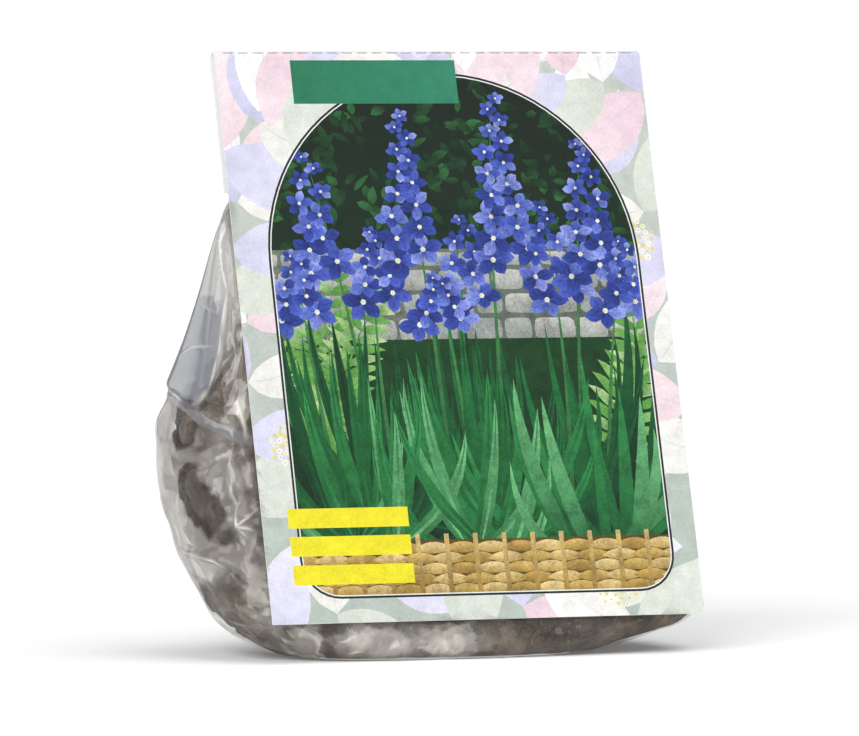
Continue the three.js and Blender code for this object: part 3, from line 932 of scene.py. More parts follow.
# Painted reflection: a facet that faces one of the bright sides of the room is painted paler than its
# neighbours, as a glint.
glints = [noise.noise(face.normal * 4.6 + Vector((3, 1, 7))) for face in facets.faces]
glints = ramp(np.array(glints), 0.02, 0.3)
planes = BVHTree.FromBMesh(facets)
facets.free()
bpy.data.objects.remove(coarse)
places = points_of(film)
found = [planes.find_nearest(Vector(place)) for place in places]
onto, facet = np.array([near for near, *_ in found]), np.array([index for _, _, index, _ in found])
places += (onto - places) * (FLATTENED * free * (1 - ear))[:, None]
set_points(film, places)

normals = normals_of(film)
banded = np.zeros(len(places))
for line, half, amount in BANDS:
    away = near_line(spots, line)[0]
    banded = np.maximum(banded, amount * (1 - ramp(away, half - 0.35, half + 0.35)))
rise = 0.12 * crinkles(spots, 4.2, 29) * (1 - 0.8 * ear) + 0.09 * crinkles(spots, 16, 11)
rise = rise * (1 - banded) + 0.9 * ear + 0.35 * banded
# Painted glints, scattered facet by facet over the free film.
scattered_glints = 0.16 * glints[facet] * free * (1 - ear) * (1 - banded)
painted_patches, crease_white_and_painted_highlight = np.zeros(len(places)), np.zeros(len(places))
# Painted highlight patches, laid on whole facets at a time.
for middle, reach, white, even in PAINTED_HIGHLIGHT_PATCHES:
    inside = np.exp(-(((centres - middle) / reach) ** 2).sum(axis=1) ** 3)
    highlight_patch = (inside * white * (even + (1 - even) * glints))[facet]
    painted_patches = np.maximum(painted_patches, highlight_patch * (1 - 0.7 * banded))
broken = 0.3 + 0.7 * ramp(crinkles(spots, 5, 41), -0.7, 0.5)
# Each fold rises, and its crease is whitened: stress whitening and a painted highlight along it.
for line, height, width, white in FOLDS:
    away, share = near_line(spots, line)
    taper = np.sin(math.pi * np.clip(share, 0.04, 0.96)) ** 0.5
    rise += height * taper * np.exp(-(away / width) ** 1.3)
    crease_white_and_painted_highlight = np.maximum(crease_white_and_painted_highlight, white * broken * taper * np.exp(-(away / (0.62 * width)) ** 2))
places = places + normals * (free * rise * MM)[:, None]
places[:, 2] = np.maximum(places[:, 2], 0)
high = local(places)[:, 2]
least = card_foot.y + card_plane(high, 0.8) * MM
places[:, 1] = np.where(high > CARD_LIFT - 1, np.maximum(places[:, 1], least), places[:, 1])
set_points(film, places)

# Sharp creases whiten too. A crease's sharpness is how far a point lies off its neighbours' middle,
# as a share of how far off they are.
ends = np.empty(len(film.data.edges) * 2, int)
film.data.edges.foreach_get("vertices", ends)
ends = ends.reshape(-1, 2)
reach = np.linalg.norm(places[ends[:, 0]] - places[ends[:, 1]], axis=1)
total, span, share = np.zeros_like(places), np.zeros(len(places)), np.zeros(len(places))
for a, b in ((0, 1), (1, 0)):
    np.add.at(total, ends[:, a], places[ends[:, b]])
    np.add.at(span, ends[:, a], reach)
    np.add.at(share, ends[:, a], 1)
bend = np.abs(((total / share[:, None] - places) * normals_of(film)).sum(axis=1)) / (span / share)
calm = (1 - mouth) * (1 - ear) * (1 - banded)
crease_white_and_painted_highlight = np.maximum(crease_white_and_painted_highlight, 0.5 * ramp(bend, 0.12, 0.36) * calm)


def surface_of(*pieces):
    """A search tree of the pieces' faces."""
    mesh = bmesh.new()
    for piece in pieces:
        mesh.from_mesh(piece.data)
    tree = BVHTree.FromBMesh(mesh)
    mesh.free()
    return tree


def distance_to(*pieces):
    """How far each of the film's points is from the pieces, in millimetres."""
    surface = surface_of(*pieces)
    return np.array([surface.find_nearest(Vector(place))[3] / MM for place in places])


# What it holds is pressed back wherever it would come through the film.
CLEARANCE = 0.0004
pouch = surface_of(film)
for piece in (peat, crumbs, *crowns):
    held_places = points_of(piece)
    for k, place in enumerate(held_places):
        near, normal, _, _ = pouch.find_nearest(Vector(place), 0.006)
        if near and (Vector(place) - near).dot(normal) > -CLEARANCE:
            held_places[k] = near - normal * CLEARANCE
    set_points(piece, held_places)

# How far the film stands off what it holds, in millimetres: where it clings, most of all to a firm
# root, it is clear, and where it hangs loose, on the left and under the card, it is milky.
stand_off = distance_to(peat, *crowns)
clinging = (1 - ramp(distance_to(*crowns), 1.4, 3.2)) * (1 - 0.65 * ramp(x, -85, -79))
clinging *= 1 - np.clip(1.4 * banded, 0, 1)
loose = np.maximum(ramp(-x, 58, 74), ramp(-x, -10, 10) * (1 - ramp(z, 13, 16)) * (1 - ramp(y, 8, 14)))
stand_off = np.minimum(stand_off, 1.5 + 4 * loose) * (1 - clinging)
stand_off = np.maximum(stand_off, 3.4 * banded)
scattered_glints *= 0.2 + 0.8 * ramp(stand_off, 0.8, 1.6)
# The painted glints and highlight patches join the crease whitening, and fade where the film clings.
crease_white_and_painted_highlight = np.maximum(crease_white_and_painted_highlight, np.maximum(scattered_glints, painted_patches) * (1 - 0.85 * clinging))
doubled = np.maximum(ear, banded)
for name, values in (("stand_off", stand_off), ("crease_white_and_painted_highlight", crease_white_and_painted_highlight), ("doubled", doubled)):
    film.data.attributes.new(name, "FLOAT", "POINT").data.foreach_set("value", values)

# Six round vents are punched through the back, each with a slightly drawn, whitened rim.
VENT_RADIUS = 3.0
VENTS = [(across, high) for across in (-44, 0, 44) for high in (38, 70)]
mesh = bmesh.new()
mesh.from_mesh(film.data)
white = mesh.verts.layers.float["crease_white_and_painted_highlight"]
for across, high in VENTS:
    middle = in_pouch((across, 0, high))
    around = []
    for vert in mesh.verts:
        away = Vector((vert.co.x - middle.x, 0, vert.co.z - middle.z)) / MM
        if vert.co.y > card_foot.y + 0.05 and away.length < VENT_RADIUS * 1.7:
            around.append((vert, away))
    punched = [vert for vert, away in around if away.length < VENT_RADIUS * 0.92]
    bmesh.ops.delete(mesh, geom=punched, context="VERTS")
    for vert, away in around:
        if vert.is_valid and vert.is_boundary:
            rim = middle + away.normalized() * VENT_RADIUS * MM
            vert.co = (rim.x, vert.co.y, rim.z)
            vert[white] = 0.9
mesh.to_mesh(film.data)
mesh.free()

# Clear cast film: glossy, faintly milky, warm grey where it stands off what it holds, and white along its
# creases and on its painted highlights and glints.
clear_film, tree = new_material("clear_cast_polypropylene")
place = add(tree, "TexCoord").outputs["Object"]
gap = add(tree, "Attribute", attribute_name="stand_off").outputs["Fac"]
# This attribute holds the creases' whitening and the painted highlights and glints.
white_and_highlight = add(tree, "Attribute", attribute_name="crease_white_and_painted_highlight").outputs["Fac"]
doubled = add(tree, "Attribute", attribute_name="doubled").outputs["Fac"]
haze = add(tree, "MapRange", {"Value": gap}, From_Min=0.9, From_Max=3.6, To_Min=0.08, To_Max=0.6)
clouds = add(tree, "TexNoise", {"Vector": place}, Scale=scale_of(16.67), Detail=3, Roughness=0.6)
cloudy = add(tree, "MapRange", {"Value": clouds}, From_Min=0.3, From_Max=0.7, To_Min=-0.06, To_Max=0.08)
edge = add(tree, "LayerWeight", Blend=0.25).outputs["Facing"]
for part, weight in ((cloudy, 0.8), (edge, 0.2), (white_and_highlight, 0.62), (doubled, 0.2)):
    terms = {0: part, 1: weight, 2: haze}
    haze = add(tree, "Math", terms, operation="MULTIPLY_ADD", use_clamp=True)
grey = {0: doubled, 6: linear("#a59f98"), 7: linear("#989aa0")}
layered = add(tree, "Mix", grey, data_type="RGBA")
white = {0: white_and_highlight, 6: layered.outputs[2], 7: linear("#f3ede3")}
tint = add(tree, "Mix", white, data_type="RGBA")
film_coat = {"Alpha": haze, "Base Color": tint.outputs[2]}
shader = add(tree, "BsdfPrincipled", film_coat, Roughness=0.14, IOR=1.65)
add(tree, "OutputMaterial", {"Surface": shader})
film.data.materials.append(clear_film)
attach(film, "root")
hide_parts("film_bag")


# ---------------------------------------------------------------------------------------------
# Glue strips.
# Two beads of hot-melt adhesive, pressed flat, that hold the mouth to the panel and to the flap.
# ---------------------------------------------------------------------------------------------
# Set glue: cream and slightly translucent, in faint runs, with a surface that was pressed half glossy.
hot_melt, tree = new_material("pressed_hot_melt_glue")
place = add(tree, "TexCoord").outputs["Object"]
runs = add(tree, "TexNoise", {"Vector": place}, Scale=scale_of(4.167), Detail=2)
streaks = {0: runs, 6: linear("#d8cda8"), 7: linear("#efe8cf")}
tone = add(tree, "Mix", streaks, data_type="RGBA")
shader = add(tree, "BsdfPrincipled", {"Base Color": tone.outputs[2]}, Roughness=0.38, Subsurface_Weight=0.1)
add(tree, "OutputMaterial", {"Surface": shader})
for name in ("glue_strip_front", "glue_strip_back"):
    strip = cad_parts[name]
    strip.data.materials.clear()
    strip.data.materials.append(hot_melt)


# ---------------------------------------------------------------------------------------------
# Picture card.
# One sheet of 0.6 mm coated folding board. It is scored and perforated along its top, folded over
# the pouch's mouth, and its short flap hangs down behind.
# ---------------------------------------------------------------------------------------------
CARD_WIDTH = 0.150
CARD_HEIGHT = 0.195
CARD_THICKNESS = 0.0006
CARD_FLAP = 0.048
FOLD_RADIUS = 0.0022  # to the outer face
FOLD_STEPS = 10
CUT_EDGE = 0.00012  # how far the board's cut edges are pressed round

card_across = Vector((1, 0, 0))
card_up = Vector((0, math.sin(CARD_LEAN), math.cos(CARD_LEAN)))
card_in = Vector((0, math.cos(CARD_LEAN), -math.sin(CARD_LEAN)))
card_corner = Vector((card_low.x, card_low.y, card_low.z + CARD_THICKNESS * math.sin(CARD_LEAN)))


def on_card(across, up, deep):
    """A place on the card: across from its left edge, up from its lower edge, deep behind its face."""
    return card_corner + card_across * across + card_up * up + card_in * deep


straight_top = CARD_HEIGHT - FOLD_RADIUS
middle = on_card(CARD_WIDTH / 2, straight_top / 2, 0)
bpy.ops.mesh.primitive_plane_add(size=1, location=middle, rotation=(math.pi / 2 - CARD_LEAN, 0, 0))
card = bpy.context.object
card.name = "picture_card_board"
card.scale = (CARD_WIDTH, straight_top, 1)
bpy.ops.object.transform_apply(location=True, rotation=True, scale=True)

# Its top edge is spun into the fold, and drawn down from there as the flap.
bpy.ops.object.mode_set(mode="EDIT")
shape = bmesh.from_edit_mesh(card.data)
bpy.ops.mesh.select_mode(type="EDGE")
bpy.ops.mesh.select_all(action="DESELECT")
for edge in shape.edges:
    edge.select = all((v.co - card_corner).dot(card_up) > straight_top - 0.0001 for v in edge.verts)
shape.select_flush_mode()
bmesh.update_edit_mesh(card.data)
fold_middle = on_card(0, straight_top, FOLD_RADIUS)
bpy.ops.mesh.spin(steps=FOLD_STEPS, angle=math.pi, center=fold_middle, axis=(1, 0, 0))
flap_drop = -card_up * (CARD_FLAP - FOLD_RADIUS)
bpy.ops.mesh.extrude_region_move(TRANSFORM_OT_translate={"value": flap_drop})
bpy.ops.mesh.select_all(action="SELECT")
bpy.ops.mesh.remove_doubles(threshold=0.00001)
bpy.ops.mesh.normals_make_consistent(inside=False)
bpy.ops.object.mode_set(mode="OBJECT")
shape = card.data
if shape.polygons[0].normal.dot(card_in) > 0:
    shape.flip_normals()
modify(card, "SOLIDIFY", thickness=CARD_THICKNESS, offset=-1, use_even_offset=True)

# The perforation: a row of short slits just in front of the top of the fold.
SLIT_LENGTH, SLIT_WIDTH, SLIT_PITCH = 0.0036, 0.0005, 0.0052
SLIT_TURN = math.radians(34)  # from the front panel, around the fold
slit_count = int((CARD_WIDTH - SLIT_LENGTH) / SLIT_PITCH)
slit_deep = FOLD_RADIUS * (1 - math.cos(SLIT_TURN))
slit_up = straight_top + FOLD_RADIUS * math.sin(SLIT_TURN)
cutters = []
for k in range(slit_count):
    place = on_card((CARD_WIDTH - (slit_count - 1) * SLIT_PITCH) / 2 + k * SLIT_PITCH, slit_up, slit_deep)
    bpy.ops.mesh.primitive_cube_add(size=1, location=place, rotation=(-CARD_LEAN - SLIT_TURN, 0, 0))
    cutter = bpy.context.object
    cutter.scale = (SLIT_LENGTH, CARD_THICKNESS * 3.2, SLIT_WIDTH)
    cutters.append(cutter)
select_only(*cutters)
bpy.ops.object.join()
cutter = bpy.context.object
modify(card, "BOOLEAN", object=cutter, operation="DIFFERENCE", solver="EXACT")
bpy.data.objects.remove(cutter)
modify(card, "BEVEL", width=CUT_EDGE, segments=2, limit_method="ANGLE", angle_limit=math.radians(50))
bpy.ops.object.shade_smooth_by_angle(angle=math.radians(30))

# Coated solid bleached board: off-white and faintly mottled, with a dull pressed surface whose
# fibres only show as a soft unevenness.
board, tree = new_material("coated_folding_board")
place = add(tree, "TexCoord").outputs["Object"]
fibres = add(tree, "TexNoise", {"Vector": place}, Scale=scale_of(1.111), Detail=3, Roughness=0.6)
clouds = add(tree, "TexNoise", {"Vector": place}, Scale=scale_of(18.18), Detail=2)
whites = {0: clouds, 6: linear("#f5f4f0"), 7: linear("#fcfbf8")}
tone = add(tree, "Mix", whites, data_type="RGBA")
bump = add(tree, "Bump", {"Height": fibres}, Strength=0.25, Distance=0.00004)
shader = add(tree, "BsdfPrincipled", {"Base Color": tone.outputs[2], "Normal": bump}, Roughness=0.62)
add(tree, "OutputMaterial", {"Surface": shader})
card.data.materials.clear()
card.data.materials.append(board)
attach(card, "root")
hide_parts("picture_card")


# ---------------------------------------------------------------------------------------------
# Print on the card.
# Four-colour offset ink under a dull varnish, in one sheet that runs up the front, over the fold
# and down the flap. Every printed shape is cut into the sheet, and each small face takes the colour
# of the ink that lies on top there. All labels are left bare.
# ---------------------------------------------------------------------------------------------
INK_LIFT = 0.00003
WIDE = CARD_WIDTH / MM
FOLD_START = straight_top / MM
FOLD_END = FOLD_START + math.pi * FOLD_RADIUS / MM
TALL = FOLD_END + (CARD_FLAP - FOLD_RADIUS) / MM

inks = []  # outline, colour at its start and end, where the blend starts and ends, and inside


def ink(outline, start, end=None, blend=None, inside=True):
    """One printed shape in card millimetres. inside says that it shows only within the window."""
    low = min(outline, key=lambda p: p[1])
    high = max(outline, key=lambda p: p[1])
    inks.append((outline, linear(start), linear(end or start), blend or (low, high), inside))


def bowed(root, tip, bend, along):
    """A place on the line from root to tip, bowed by bend times its length, and its slope there."""
    root, tip = Vector(root), Vector(tip)
    run = tip - root
    side = Vector((-run.y, run.x))
    return root + run * along + side * (bend * 4 * along * (1 - along)), bend * 4 * (1 - 2 * along)


def blade(root, tip, width, bend=0.0, blunt=0.5, steps=7):
    """A leaf or petal outline from root to tip. bend is the bow's height as a share of its length."""
    run = Vector(tip) - Vector(root)
    side = Vector((-run.y, run.x))
    left, right = [], []
    for i in range(steps + 1):
        along = i / steps
        middle, slope = bowed(root, tip, bend, along)
        half = width / 2 * math.sin(math.pi * along ** blunt) ** 0.8 if 0 < i < steps else 0
        normal = (side.normalized() - run.normalized() * slope).normalized()
        left.append(tuple(middle + normal * half))
        right.append(tuple(middle - normal * half))
    return left + right[-2:0:-1]


def polar(centre, angle, length):
    return (centre[0] + length * math.cos(angle), centre[1] + length * math.sin(angle))


def disc(centre, radius, sides):
    return [polar(centre, math.tau * i / sides, radius) for i in range(sides)]


def rect(left, foot, right, top):
    return [(left, foot), (right, foot), (right, top), (left, top)]


def shade(pick, colours):
    return colours[pick.randrange(len(colours))]


pick = random.Random(41)

# The pastel border: sprigs of large rounded leaves on sage, with loose clusters of cream seed heads.
PASTELS = (
    ("#cfcdea", "#e6e4f6"), ("#f7f6f8", "#fdfdfd"), ("#efd3de", "#f8e6ec"), ("#d7ddd0", "#e9ede4"),
    ("#d8d6f0", "#f0eefa"), ("#f1efe9", "#fcfbf8"), ("#f3dbe3", "#fbf0f3"),
)
ink(rect(0, 0, WIDE, TALL), "#b9c4bb", "#ced3cb", ((0, 0), (0, TALL)), False)
SPRIGS = (
    ((-12, 34), 70, 84), ((-4, -14), 30, 92), ((62, -12), 30, 86), ((126, -14), 96, 84),
    ((164, 48), 112, 74), ((160, 118), 124, 74), ((-10, 104), 66, 70), ((-8, 156), 30, 74),
    ((58, 204), -24, 60), ((154, 178), 160, 56), ((100, 206), 200, 70), ((20, 214), -60, 56),
    ((-10, 232), 20, 90), ((162, 226), 170, 90), ((60, 256), -60, 64), ((128, 250), 230, 60),
)
for foot, heading, reach in SPRIGS:
    heading = math.radians(heading)
    tone = pick.randrange(len(PASTELS))
    for k in range(4):
        place = polar(foot, heading + 0.05 * k, reach * (0.1 + 0.24 * k))
        for side in (-1, 1):
            turn = heading + side * pick.uniform(0.7, 1.0)
            size = pick.uniform(36, 46) * (1 - 0.09 * k)
            dark, light = PASTELS[(tone + k + 2 * (side > 0)) % len(PASTELS)]
            leaf_tip = polar(place, turn, size)
            leaf = blade(place, leaf_tip, size * 0.5, side * 0.06, 0.85, 10)
            ink(leaf, dark, light, (place, leaf_tip), False)
            vein_tip = polar(place, turn, size * 0.78)
            ink(blade(place, vein_tip, 0.5, side * 0.06, 1, 4), "#cfd0d9", light, (place, vein_tip), False)
CREAM = ("#f6f2cf", "#fbf8e4", "#ece3ae", "#e4dca4")
GOLDEN_ANGLE = 2.399963  # between one seed and the next, as in a real seed head
for centre, spread, count in (((120, 12), 9, 46), ((12, 60), 7, 34), ((141, 128), 7, 34)):
    for k in range(count):
        out = spread * math.sqrt(k / count)
        place = polar(centre, k * GOLDEN_ANGLE, out)
        ink(disc(place, pick.uniform(0.75, 1.15), 7), shade(pick, CREAM), inside=False)
        ink(disc(place, 0.32, 5), "#cfc486", inside=False)

# The arched window: a dark keyline, a white one, then the picture.
ARCH_LEFT, ARCH_RIGHT = 11.5, 141.5
ARCH_FOOT, ARCH_SPRING = 8.0, 122.0
ARCH_CORNER = 13.0


def arch(inset):
    """The window's outline, drawn in by so many millimetres."""
    left, right = ARCH_LEFT + inset, ARCH_RIGHT - inset
    middle, radius = (left + right) / 2, (right - left) / 2
    foot, corner = ARCH_FOOT + inset, ARCH_CORNER - inset
    points = []
    for k in range(41):
        points.append(polar((middle, ARCH_SPRING), math.pi * k / 40, radius))
    for centre, start in (((left + corner, foot + corner), 180), ((right - corner, foot + corner), 270)):
        for k in range(9):
            points.append(polar(centre, math.radians(start + 90 * k / 8), corner))
    return points


ink(arch(0), "#23282a", inside=False)
ink(arch(0.75), "#f1f2ee", inside=False)
WINDOW = len(inks)
ink(arch(1.15), "#12331f", "#101d14", ((0, 60), (0, 185)), False)

# The hedge behind: clumps of small dark leaves.
HEDGE_FOOTS = ("#0c1f11", "#0f2815", "#12301a", "#17361d", "#1d4425", "#28572f", "#316a39")
HEDGE_TIPS = ("#0f2815", "#17361d", "#1d4425", "#28572f", "#12301a", "#316a39", "#0c1f11")
HEDGE_LEAVES = 560
for _ in range(HEDGE_LEAVES):
    place = (pick.uniform(8, 144), pick.uniform(112, 188))
    clump = noise.noise(Vector((place[0] * 0.06, place[1] * 0.06, 3.1)))
    tone = min(len(HEDGE_TIPS) - 1, max(0, int(3 + clump * 7 + pick.uniform(-1, 1))))
    tip = polar(place, pick.uniform(0, math.tau), pick.uniform(4, 8))
    ink(blade(place, tip, pick.uniform(2, 3.4), 0.05, 0.8, 4), HEDGE_FOOTS[tone], HEDGE_TIPS[tone])

# A low dry stone wall in pale grey.
STONES = ("#b6b8b3", "#a5aaa6", "#c6c6c0", "#9aa29f", "#bdbcb8", "#aeb3ab", "#cdccc6")
STONE_POINTS = 16
ink(rect(8, 92, 146, 126), "#6f766f", "#5a6259")
for row, (foot, tall) in enumerate(((94, 8.5), (103.2, 7.6), (111.4, 7.8), (119.8, 5.4))):
    x = 4.0 - 5 * (row % 2)
    while x < 146:
        long = pick.uniform(9, 17)
        stone = []
        for k in range(STONE_POINTS):
            cx, sy = polar((0, 0), math.tau * k / STONE_POINTS, 1)
            across = math.copysign(abs(cx) ** 0.42, cx) * (long / 2 - 0.35) * pick.uniform(0.95, 1)
            up = math.copysign(abs(sy) ** 0.42, sy) * (tall / 2 - 0.3) * pick.uniform(0.92, 1)
            stone.append((x + long / 2 + across, foot + tall / 2 + up))
        tone = shade(pick, STONES)
        ink(stone, "#8d938c", tone, ((0, foot - 1), (0, foot + tall)))
        x += long

# The lawn and the deep shade under the leaves.
ink(rect(8, 4, 146, 95), "#0a2013", "#16401f", ((0, 20), (0, 98)))

# Fern fronds in light green.
FERN = ("#8fc06a", "#a9d184", "#6fa64f", "#c3dd9f", "#7db35d")
FRONDS = (
    ((124, 50), (152, 98), 0.16), ((126, 48), (134, 116), -0.1), ((24, 52), (4, 92), -0.16),
    ((28, 50), (14, 112), -0.08), ((30, 50), (34, 120), 0.05), ((34, 52), (52, 112), 0.14),
    ((30, 44), (8, 74), -0.1),
)
for root, tip, bend in FRONDS:
    run = Vector(tip) - Vector(root)
    for k in range(1, 15):
        along = k / 15
        middle, slope = bowed(root, tip, bend, along)
        heading = math.atan2(run.y, run.x) + slope
        size = 16.5 * math.sin(math.pi * (0.15 + 0.85 * (1 - along))) ** 0.7 * (1.05 - along * 0.55)
        for s in (-1, 1):
            end = polar(middle, heading + s * 1.08, size)
            colour = shade(pick, FERN)
            ink(blade(tuple(middle), end, 3.3, s * -0.08, 0.75, 5), "#4b8a3d", colour, (tuple(middle), end))
    ink(blade(root, tip, 0.8, bend, 0.6, 8), "#5d8f45")

# Strap leaves in three clumps, from the deep ones to the bright ones in front, with the flower
# stems among them.
SPIKES = (
    (29, 118, 158, -4), (47, 108, 132, 4), (62, 122, 172, -2), (79, 106, 136, 3), (94, 122, 178, 3),
    (110, 108, 140, -4), (124, 116, 162, 2), (135, 104, 128, 3), (20, 102, 124, 2), (70, 100, 116, -3),
)
STRAPS = (
    ("#04210f", "#0f4524"), ("#07301a", "#175a30"), ("#0c421f", "#1f6d38"),
    ("#125028", "#2f8547"), ("#196032", "#6db57a"),
)
STRAP_COUNT = 132
for k in range(STRAP_COUNT):
    clump = (38, 78, 116)[k % 3]
    depth = k / STRAP_COUNT
    if k == STRAP_COUNT // 3:
        for x, low, high, sway in SPIKES:
            stem_foot = (x * 0.8 + 15 - sway, 30)
            ink(blade(stem_foot, (x + sway * 0.3, high), 1.7, sway * 0.006, 0.3, 10), "#1f5a30", "#4f8a50")
    foot = (clump + pick.uniform(-12, 12), pick.uniform(18, 30) - 4 * depth)
    lean = pick.gauss(0, 0.42) + (foot[0] - clump) * 0.024
    reach = pick.uniform(66, 96) * (1 - 0.34 * depth)
    tip = polar(foot, math.pi / 2 - lean, reach)
    dark, light = STRAPS[min(4, int(depth * 4 + pick.uniform(0, 1.2)))]
    bend = -lean * pick.uniform(0.14, 0.36)
    wide = pick.uniform(3.4, 5.6)
    ink(blade(foot, tip, wide, bend, 0.62, 9), dark, light, (foot, tip))
    if k % 3 != 2:
        ink(blade(foot, tip, wide * 0.24, bend, 0.62, 7), light, dark, (foot, tip))

# Flower spikes: blue bells with five petals, open ones low on the stem and buds at its top.
BLUES = (
    ("#1f2c70", "#3f54b4"), ("#27398e", "#5468c6"), ("#3248a4", "#7687d8"),
    ("#1a2358", "#354aa6"), ("#4057b8", "#9aa6e6"),
)
for x, low, high, sway in SPIKES:
    count = max(9, round((high - low) / 3.6))
    for k in range(count):
        along = k / (count - 1)
        size = 7.8 * (1 - 0.6 * along)
        swing = 8.2 * (1 - 0.8 * along) * (1 if k % 2 else -1) * pick.uniform(0.35, 1.1)
        place = (x + sway * 0.3 * along + swing, low + (high - low) * along)
        turn = pick.uniform(0, math.tau)
        squash = pick.uniform(0.6, 0.95)
        for petal in range(5):
            angle = turn + math.tau * petal / 5
            out = polar((0, 0), angle, size)
            end = (place[0] + out[0], place[1] + out[1] * squash)
            dark, light = shade(pick, BLUES)
            ink(blade(place, end, size * 0.62, 0.06, 1.15, 5), dark, light, (place, end))
            if size > 5:
                vein = (place[0] + out[0] * 0.85, place[1] + out[1] * 0.85 * squash)
                ink(blade(place, vein, size * 0.09, 0.06, 1, 3), light, dark, (place, vein))
        ink(disc(place, size * 0.13, 6), "#dfe2c8")

# A low edging of woven willow, and chips of bark along its foot.
WILLOW = (("#9a7c37", "#cfae66"), ("#a88b44", "#dcc084"), ("#8f7231", "#c09d57"), ("#b3964a", "#e2c890"))
ink(rect(8, 4, 146, 27), "#5b4823")
for row in range(6):
    foot = 6.5 + row * 3.5
    for k in range(-1, 15):
        x = 8 + k * 10 + 5 * (row % 2)
        dark, light = WILLOW[(row * 3 + k) % 4]
        strand = blade((x - 1.6, foot), (x + 11.6, foot), 3.9, 0.03, 1, 7)
        ink(strand, dark, light, ((0, foot - 1.8), (0, foot + 1.8)))
for k in range(14):
    x = 12.6 + k * 10
    ink([(x - 0.9, 5), (x + 0.9, 5), (x + 0.8, 29), (x - 0.8, 29)], "#8a6d2f", "#cdb071")

# Bare labels: a title bar and three narrow strips.
ink(rect(25.9, 176.3, 83.6, 191.4), "#2b7a59", "#35876a", inside=False)
for foot in (31.8, 22.4, 12.8):
    ink(rect(8.8, foot, 50.2, foot + 6.6), "#f3e52f", inside=False)

# The flap's own bare label, a pale panel inside a keyline.
ink(rect(22, 207, 128, 239), "#2b7a59", "#35876a", inside=False)
ink(rect(23, 208, 127, 238), "#f4f4f0", "#fafaf6", inside=False)

# The perforation goes through the print as well, so its slits are cut out of the sheet.
SLITS = len(inks)
slit_line = FOLD_START + (FOLD_END - FOLD_START) * SLIT_TURN / math.pi
for k in range(slit_count):
    x = (WIDE - (slit_count - 1) * SLIT_PITCH / MM) / 2 + k * SLIT_PITCH / MM
    wide, tall = SLIT_LENGTH / MM / 2, SLIT_WIDTH / MM / 2
    ink(rect(x - wide, slit_line - tall, x + wide, slit_line + tall), "#000000", inside=False)


def on_sheet(u, v):
    """Where a point of the flat sheet lies once it is folded over, just proud of the board."""
    if v <= FOLD_START:
        return on_card(u * MM, v * MM, -INK_LIFT)
    radius = FOLD_RADIUS + INK_LIFT
    turn = min(1, (v - FOLD_START) / (FOLD_END - FOLD_START)) * math.pi
    up = straight_top + radius * math.sin(turn) - max(0, v - FOLD_END) * MM
    return on_card(u * MM, up, FOLD_RADIUS - radius * math.cos(turn))


def trimmed(outline):
    """The outline, counterclockwise, with what lies past the sheet's four edges cut off."""
    turning = sum(a[0] * b[1] - b[0] * a[1] for a, b in zip(outline, outline[1:] + outline[:1]))
    ring = outline if turning > 0 else outline[::-1]
    for axis, limit, sign in ((0, 0, 1), (0, WIDE, -1), (1, 0, 1), (1, TALL, -1)):
        kept = []
        for a, b in zip(ring, ring[1:] + ring[:1]):
            here, there = (a[axis] - limit) * sign, (b[axis] - limit) * sign
            if here >= 0:
                kept.append(a)
            if (here > 0 > there) or (here < 0 < there):
                along = here / (here - there)
                kept.append(tuple(a[i] + (b[i] - a[i]) * along for i in (0, 1)))
        ring = kept
        if len(ring) < 3:
            return []
    return ring


points, outlines, folds = [], [], []
for outline, *_ in inks:
    ring = trimmed(outline)
    if ring:
        outlines.append(list(range(len(points), len(points) + len(ring))))
        points += [Vector(place) for place in ring]
for k in range(FOLD_STEPS + 1):
    v = FOLD_START + (FOLD_END - FOLD_START) * k / FOLD_STEPS
    folds.append((len(points), len(points) + 1))
    points += [Vector((0, v)), Vector((WIDE, v))]
flat, _, faces, _, _, _ = delaunay_2d_cdt(points, folds, outlines, 1, 1e-4)
flat = np.array(flat)
faces = np.array(faces)
faces = faces[np.argsort(flat[faces].mean(axis=1)[:, 0])]
centres = flat[faces].mean(axis=1)


def covered(outline):
    """The numbers of the small faces whose centres lie inside an outline."""
    ring = np.array(outline)
    low, high = ring.min(axis=0), ring.max(axis=0)
    first, last = np.searchsorted(centres[:, 0], (low[0], high[0]))
    near = first + np.flatnonzero((centres[first:last, 1] > low[1]) & (centres[first:last, 1] < high[1]))
    x, y = centres[near].T
    within = np.zeros(len(near), bool)
    for (ax, ay), (bx, by) in zip(ring, np.roll(ring, -1, axis=0)):
        if ay != by:
            within ^= ((ay > y) != (by > y)) & (x < ax + (y - ay) * (bx - ax) / (by - ay))
    return near[within]


top = np.zeros(len(faces), int)
in_window = np.zeros(len(faces), bool)
in_window[covered(inks[WINDOW][0])] = True
for k, (outline, _, _, _, inside) in enumerate(inks):
    hit = covered(outline)
    top[hit[in_window[hit]] if inside else hit] = k
shown = np.flatnonzero(top < SLITS)

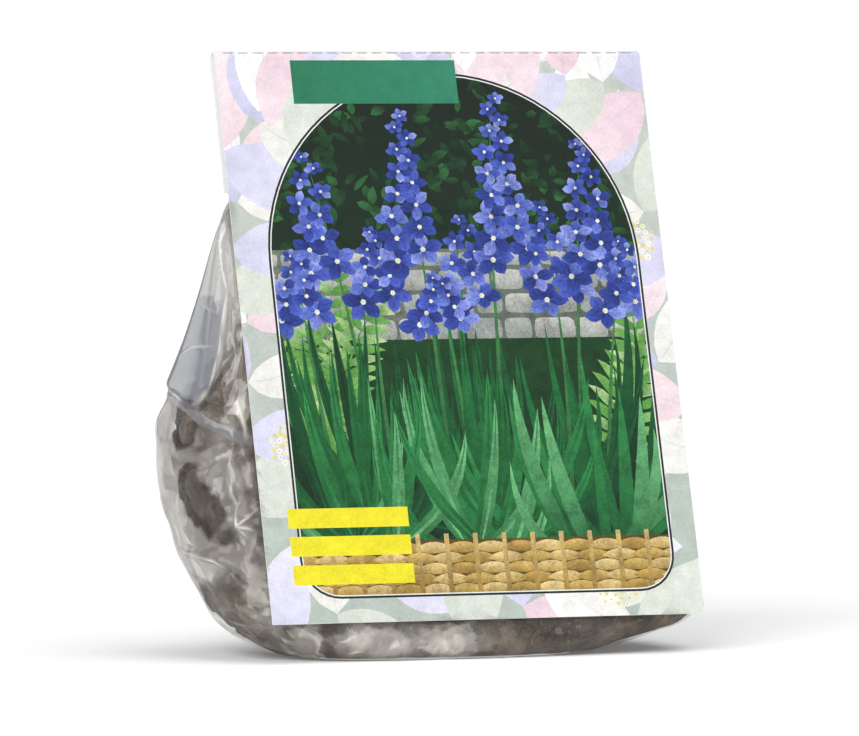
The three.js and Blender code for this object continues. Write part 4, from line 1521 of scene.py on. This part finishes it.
colours = np.ones((len(shown), 3, 4))
for k in np.unique(top[shown]):
    _, start, end, (a, b), inside = inks[k]
    a, run = np.array(a), np.array(b) - np.array(a)
    rows = np.flatnonzero(top[shown] == k)
    along = (flat[faces[shown[rows]]] - a) @ run / max(run @ run, 1e-9)
    along = np.clip(along, 0, 1)[..., None]
    colours[rows, :, :3] = np.array(start[:3]) * (1 - along) + np.array(end[:3]) * along
    colours[rows, :, 3] = 1.0 if inside else 0.3

shape = bpy.data.meshes.new("card_print")
shape.from_pydata([on_sheet(*place) for place in flat.tolist()], [], faces[shown].tolist())
layer = shape.color_attributes.new("ink", "FLOAT_COLOR", "CORNER")
layer.data.foreach_set("color", colours.ravel())
card_print = new_piece("card_print", shape)
bpy.ops.object.shade_smooth()

# Offset ink under dull varnish: flat colour, faintly grainy as screened pictures are, with the
# board's fibres just felt in the sheen.
print_ink, tree = new_material("varnished_offset_print")
place = add(tree, "TexCoord").outputs["Object"]
colour = add(tree, "VertexColor", layer_name="ink")
grain = add(tree, "TexNoise", {"Vector": place}, Scale=scale_of(0.7692), Detail=3, Roughness=0.65)
patches = add(tree, "TexNoise", {"Vector": place}, Scale=scale_of(5.263), Detail=3, Roughness=0.6)
both = add(tree, "Math", {0: grain, 1: patches}, operation="ADD")
swing = add(tree, "MapRange", {"Value": both}, From_Min=0.7, From_Max=1.3, To_Min=-0.42, To_Max=0.42)
share = add(tree, "Math", {0: swing, 1: colour.outputs["Alpha"]}, operation="MULTIPLY")
level = add(tree, "Math", {0: share, 1: 1.0}, operation="ADD")
tint = add(tree, "VectorMath", {0: colour.outputs["Color"], "Scale": level}, operation="SCALE")
sheen = add(tree, "MapRange", {"Value": patches}, To_Min=0.42, To_Max=0.55)
bump = add(tree, "Bump", {"Height": grain}, Strength=0.12, Distance=0.00003)
varnish = {"Base Color": tint, "Roughness": sheen, "Normal": bump}
shader = add(tree, "BsdfPrincipled", varnish, Specular_IOR_Level=0.3)
add(tree, "OutputMaterial", {"Surface": shader})
card_print.data.materials.append(print_ink)
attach(card_print, "root")
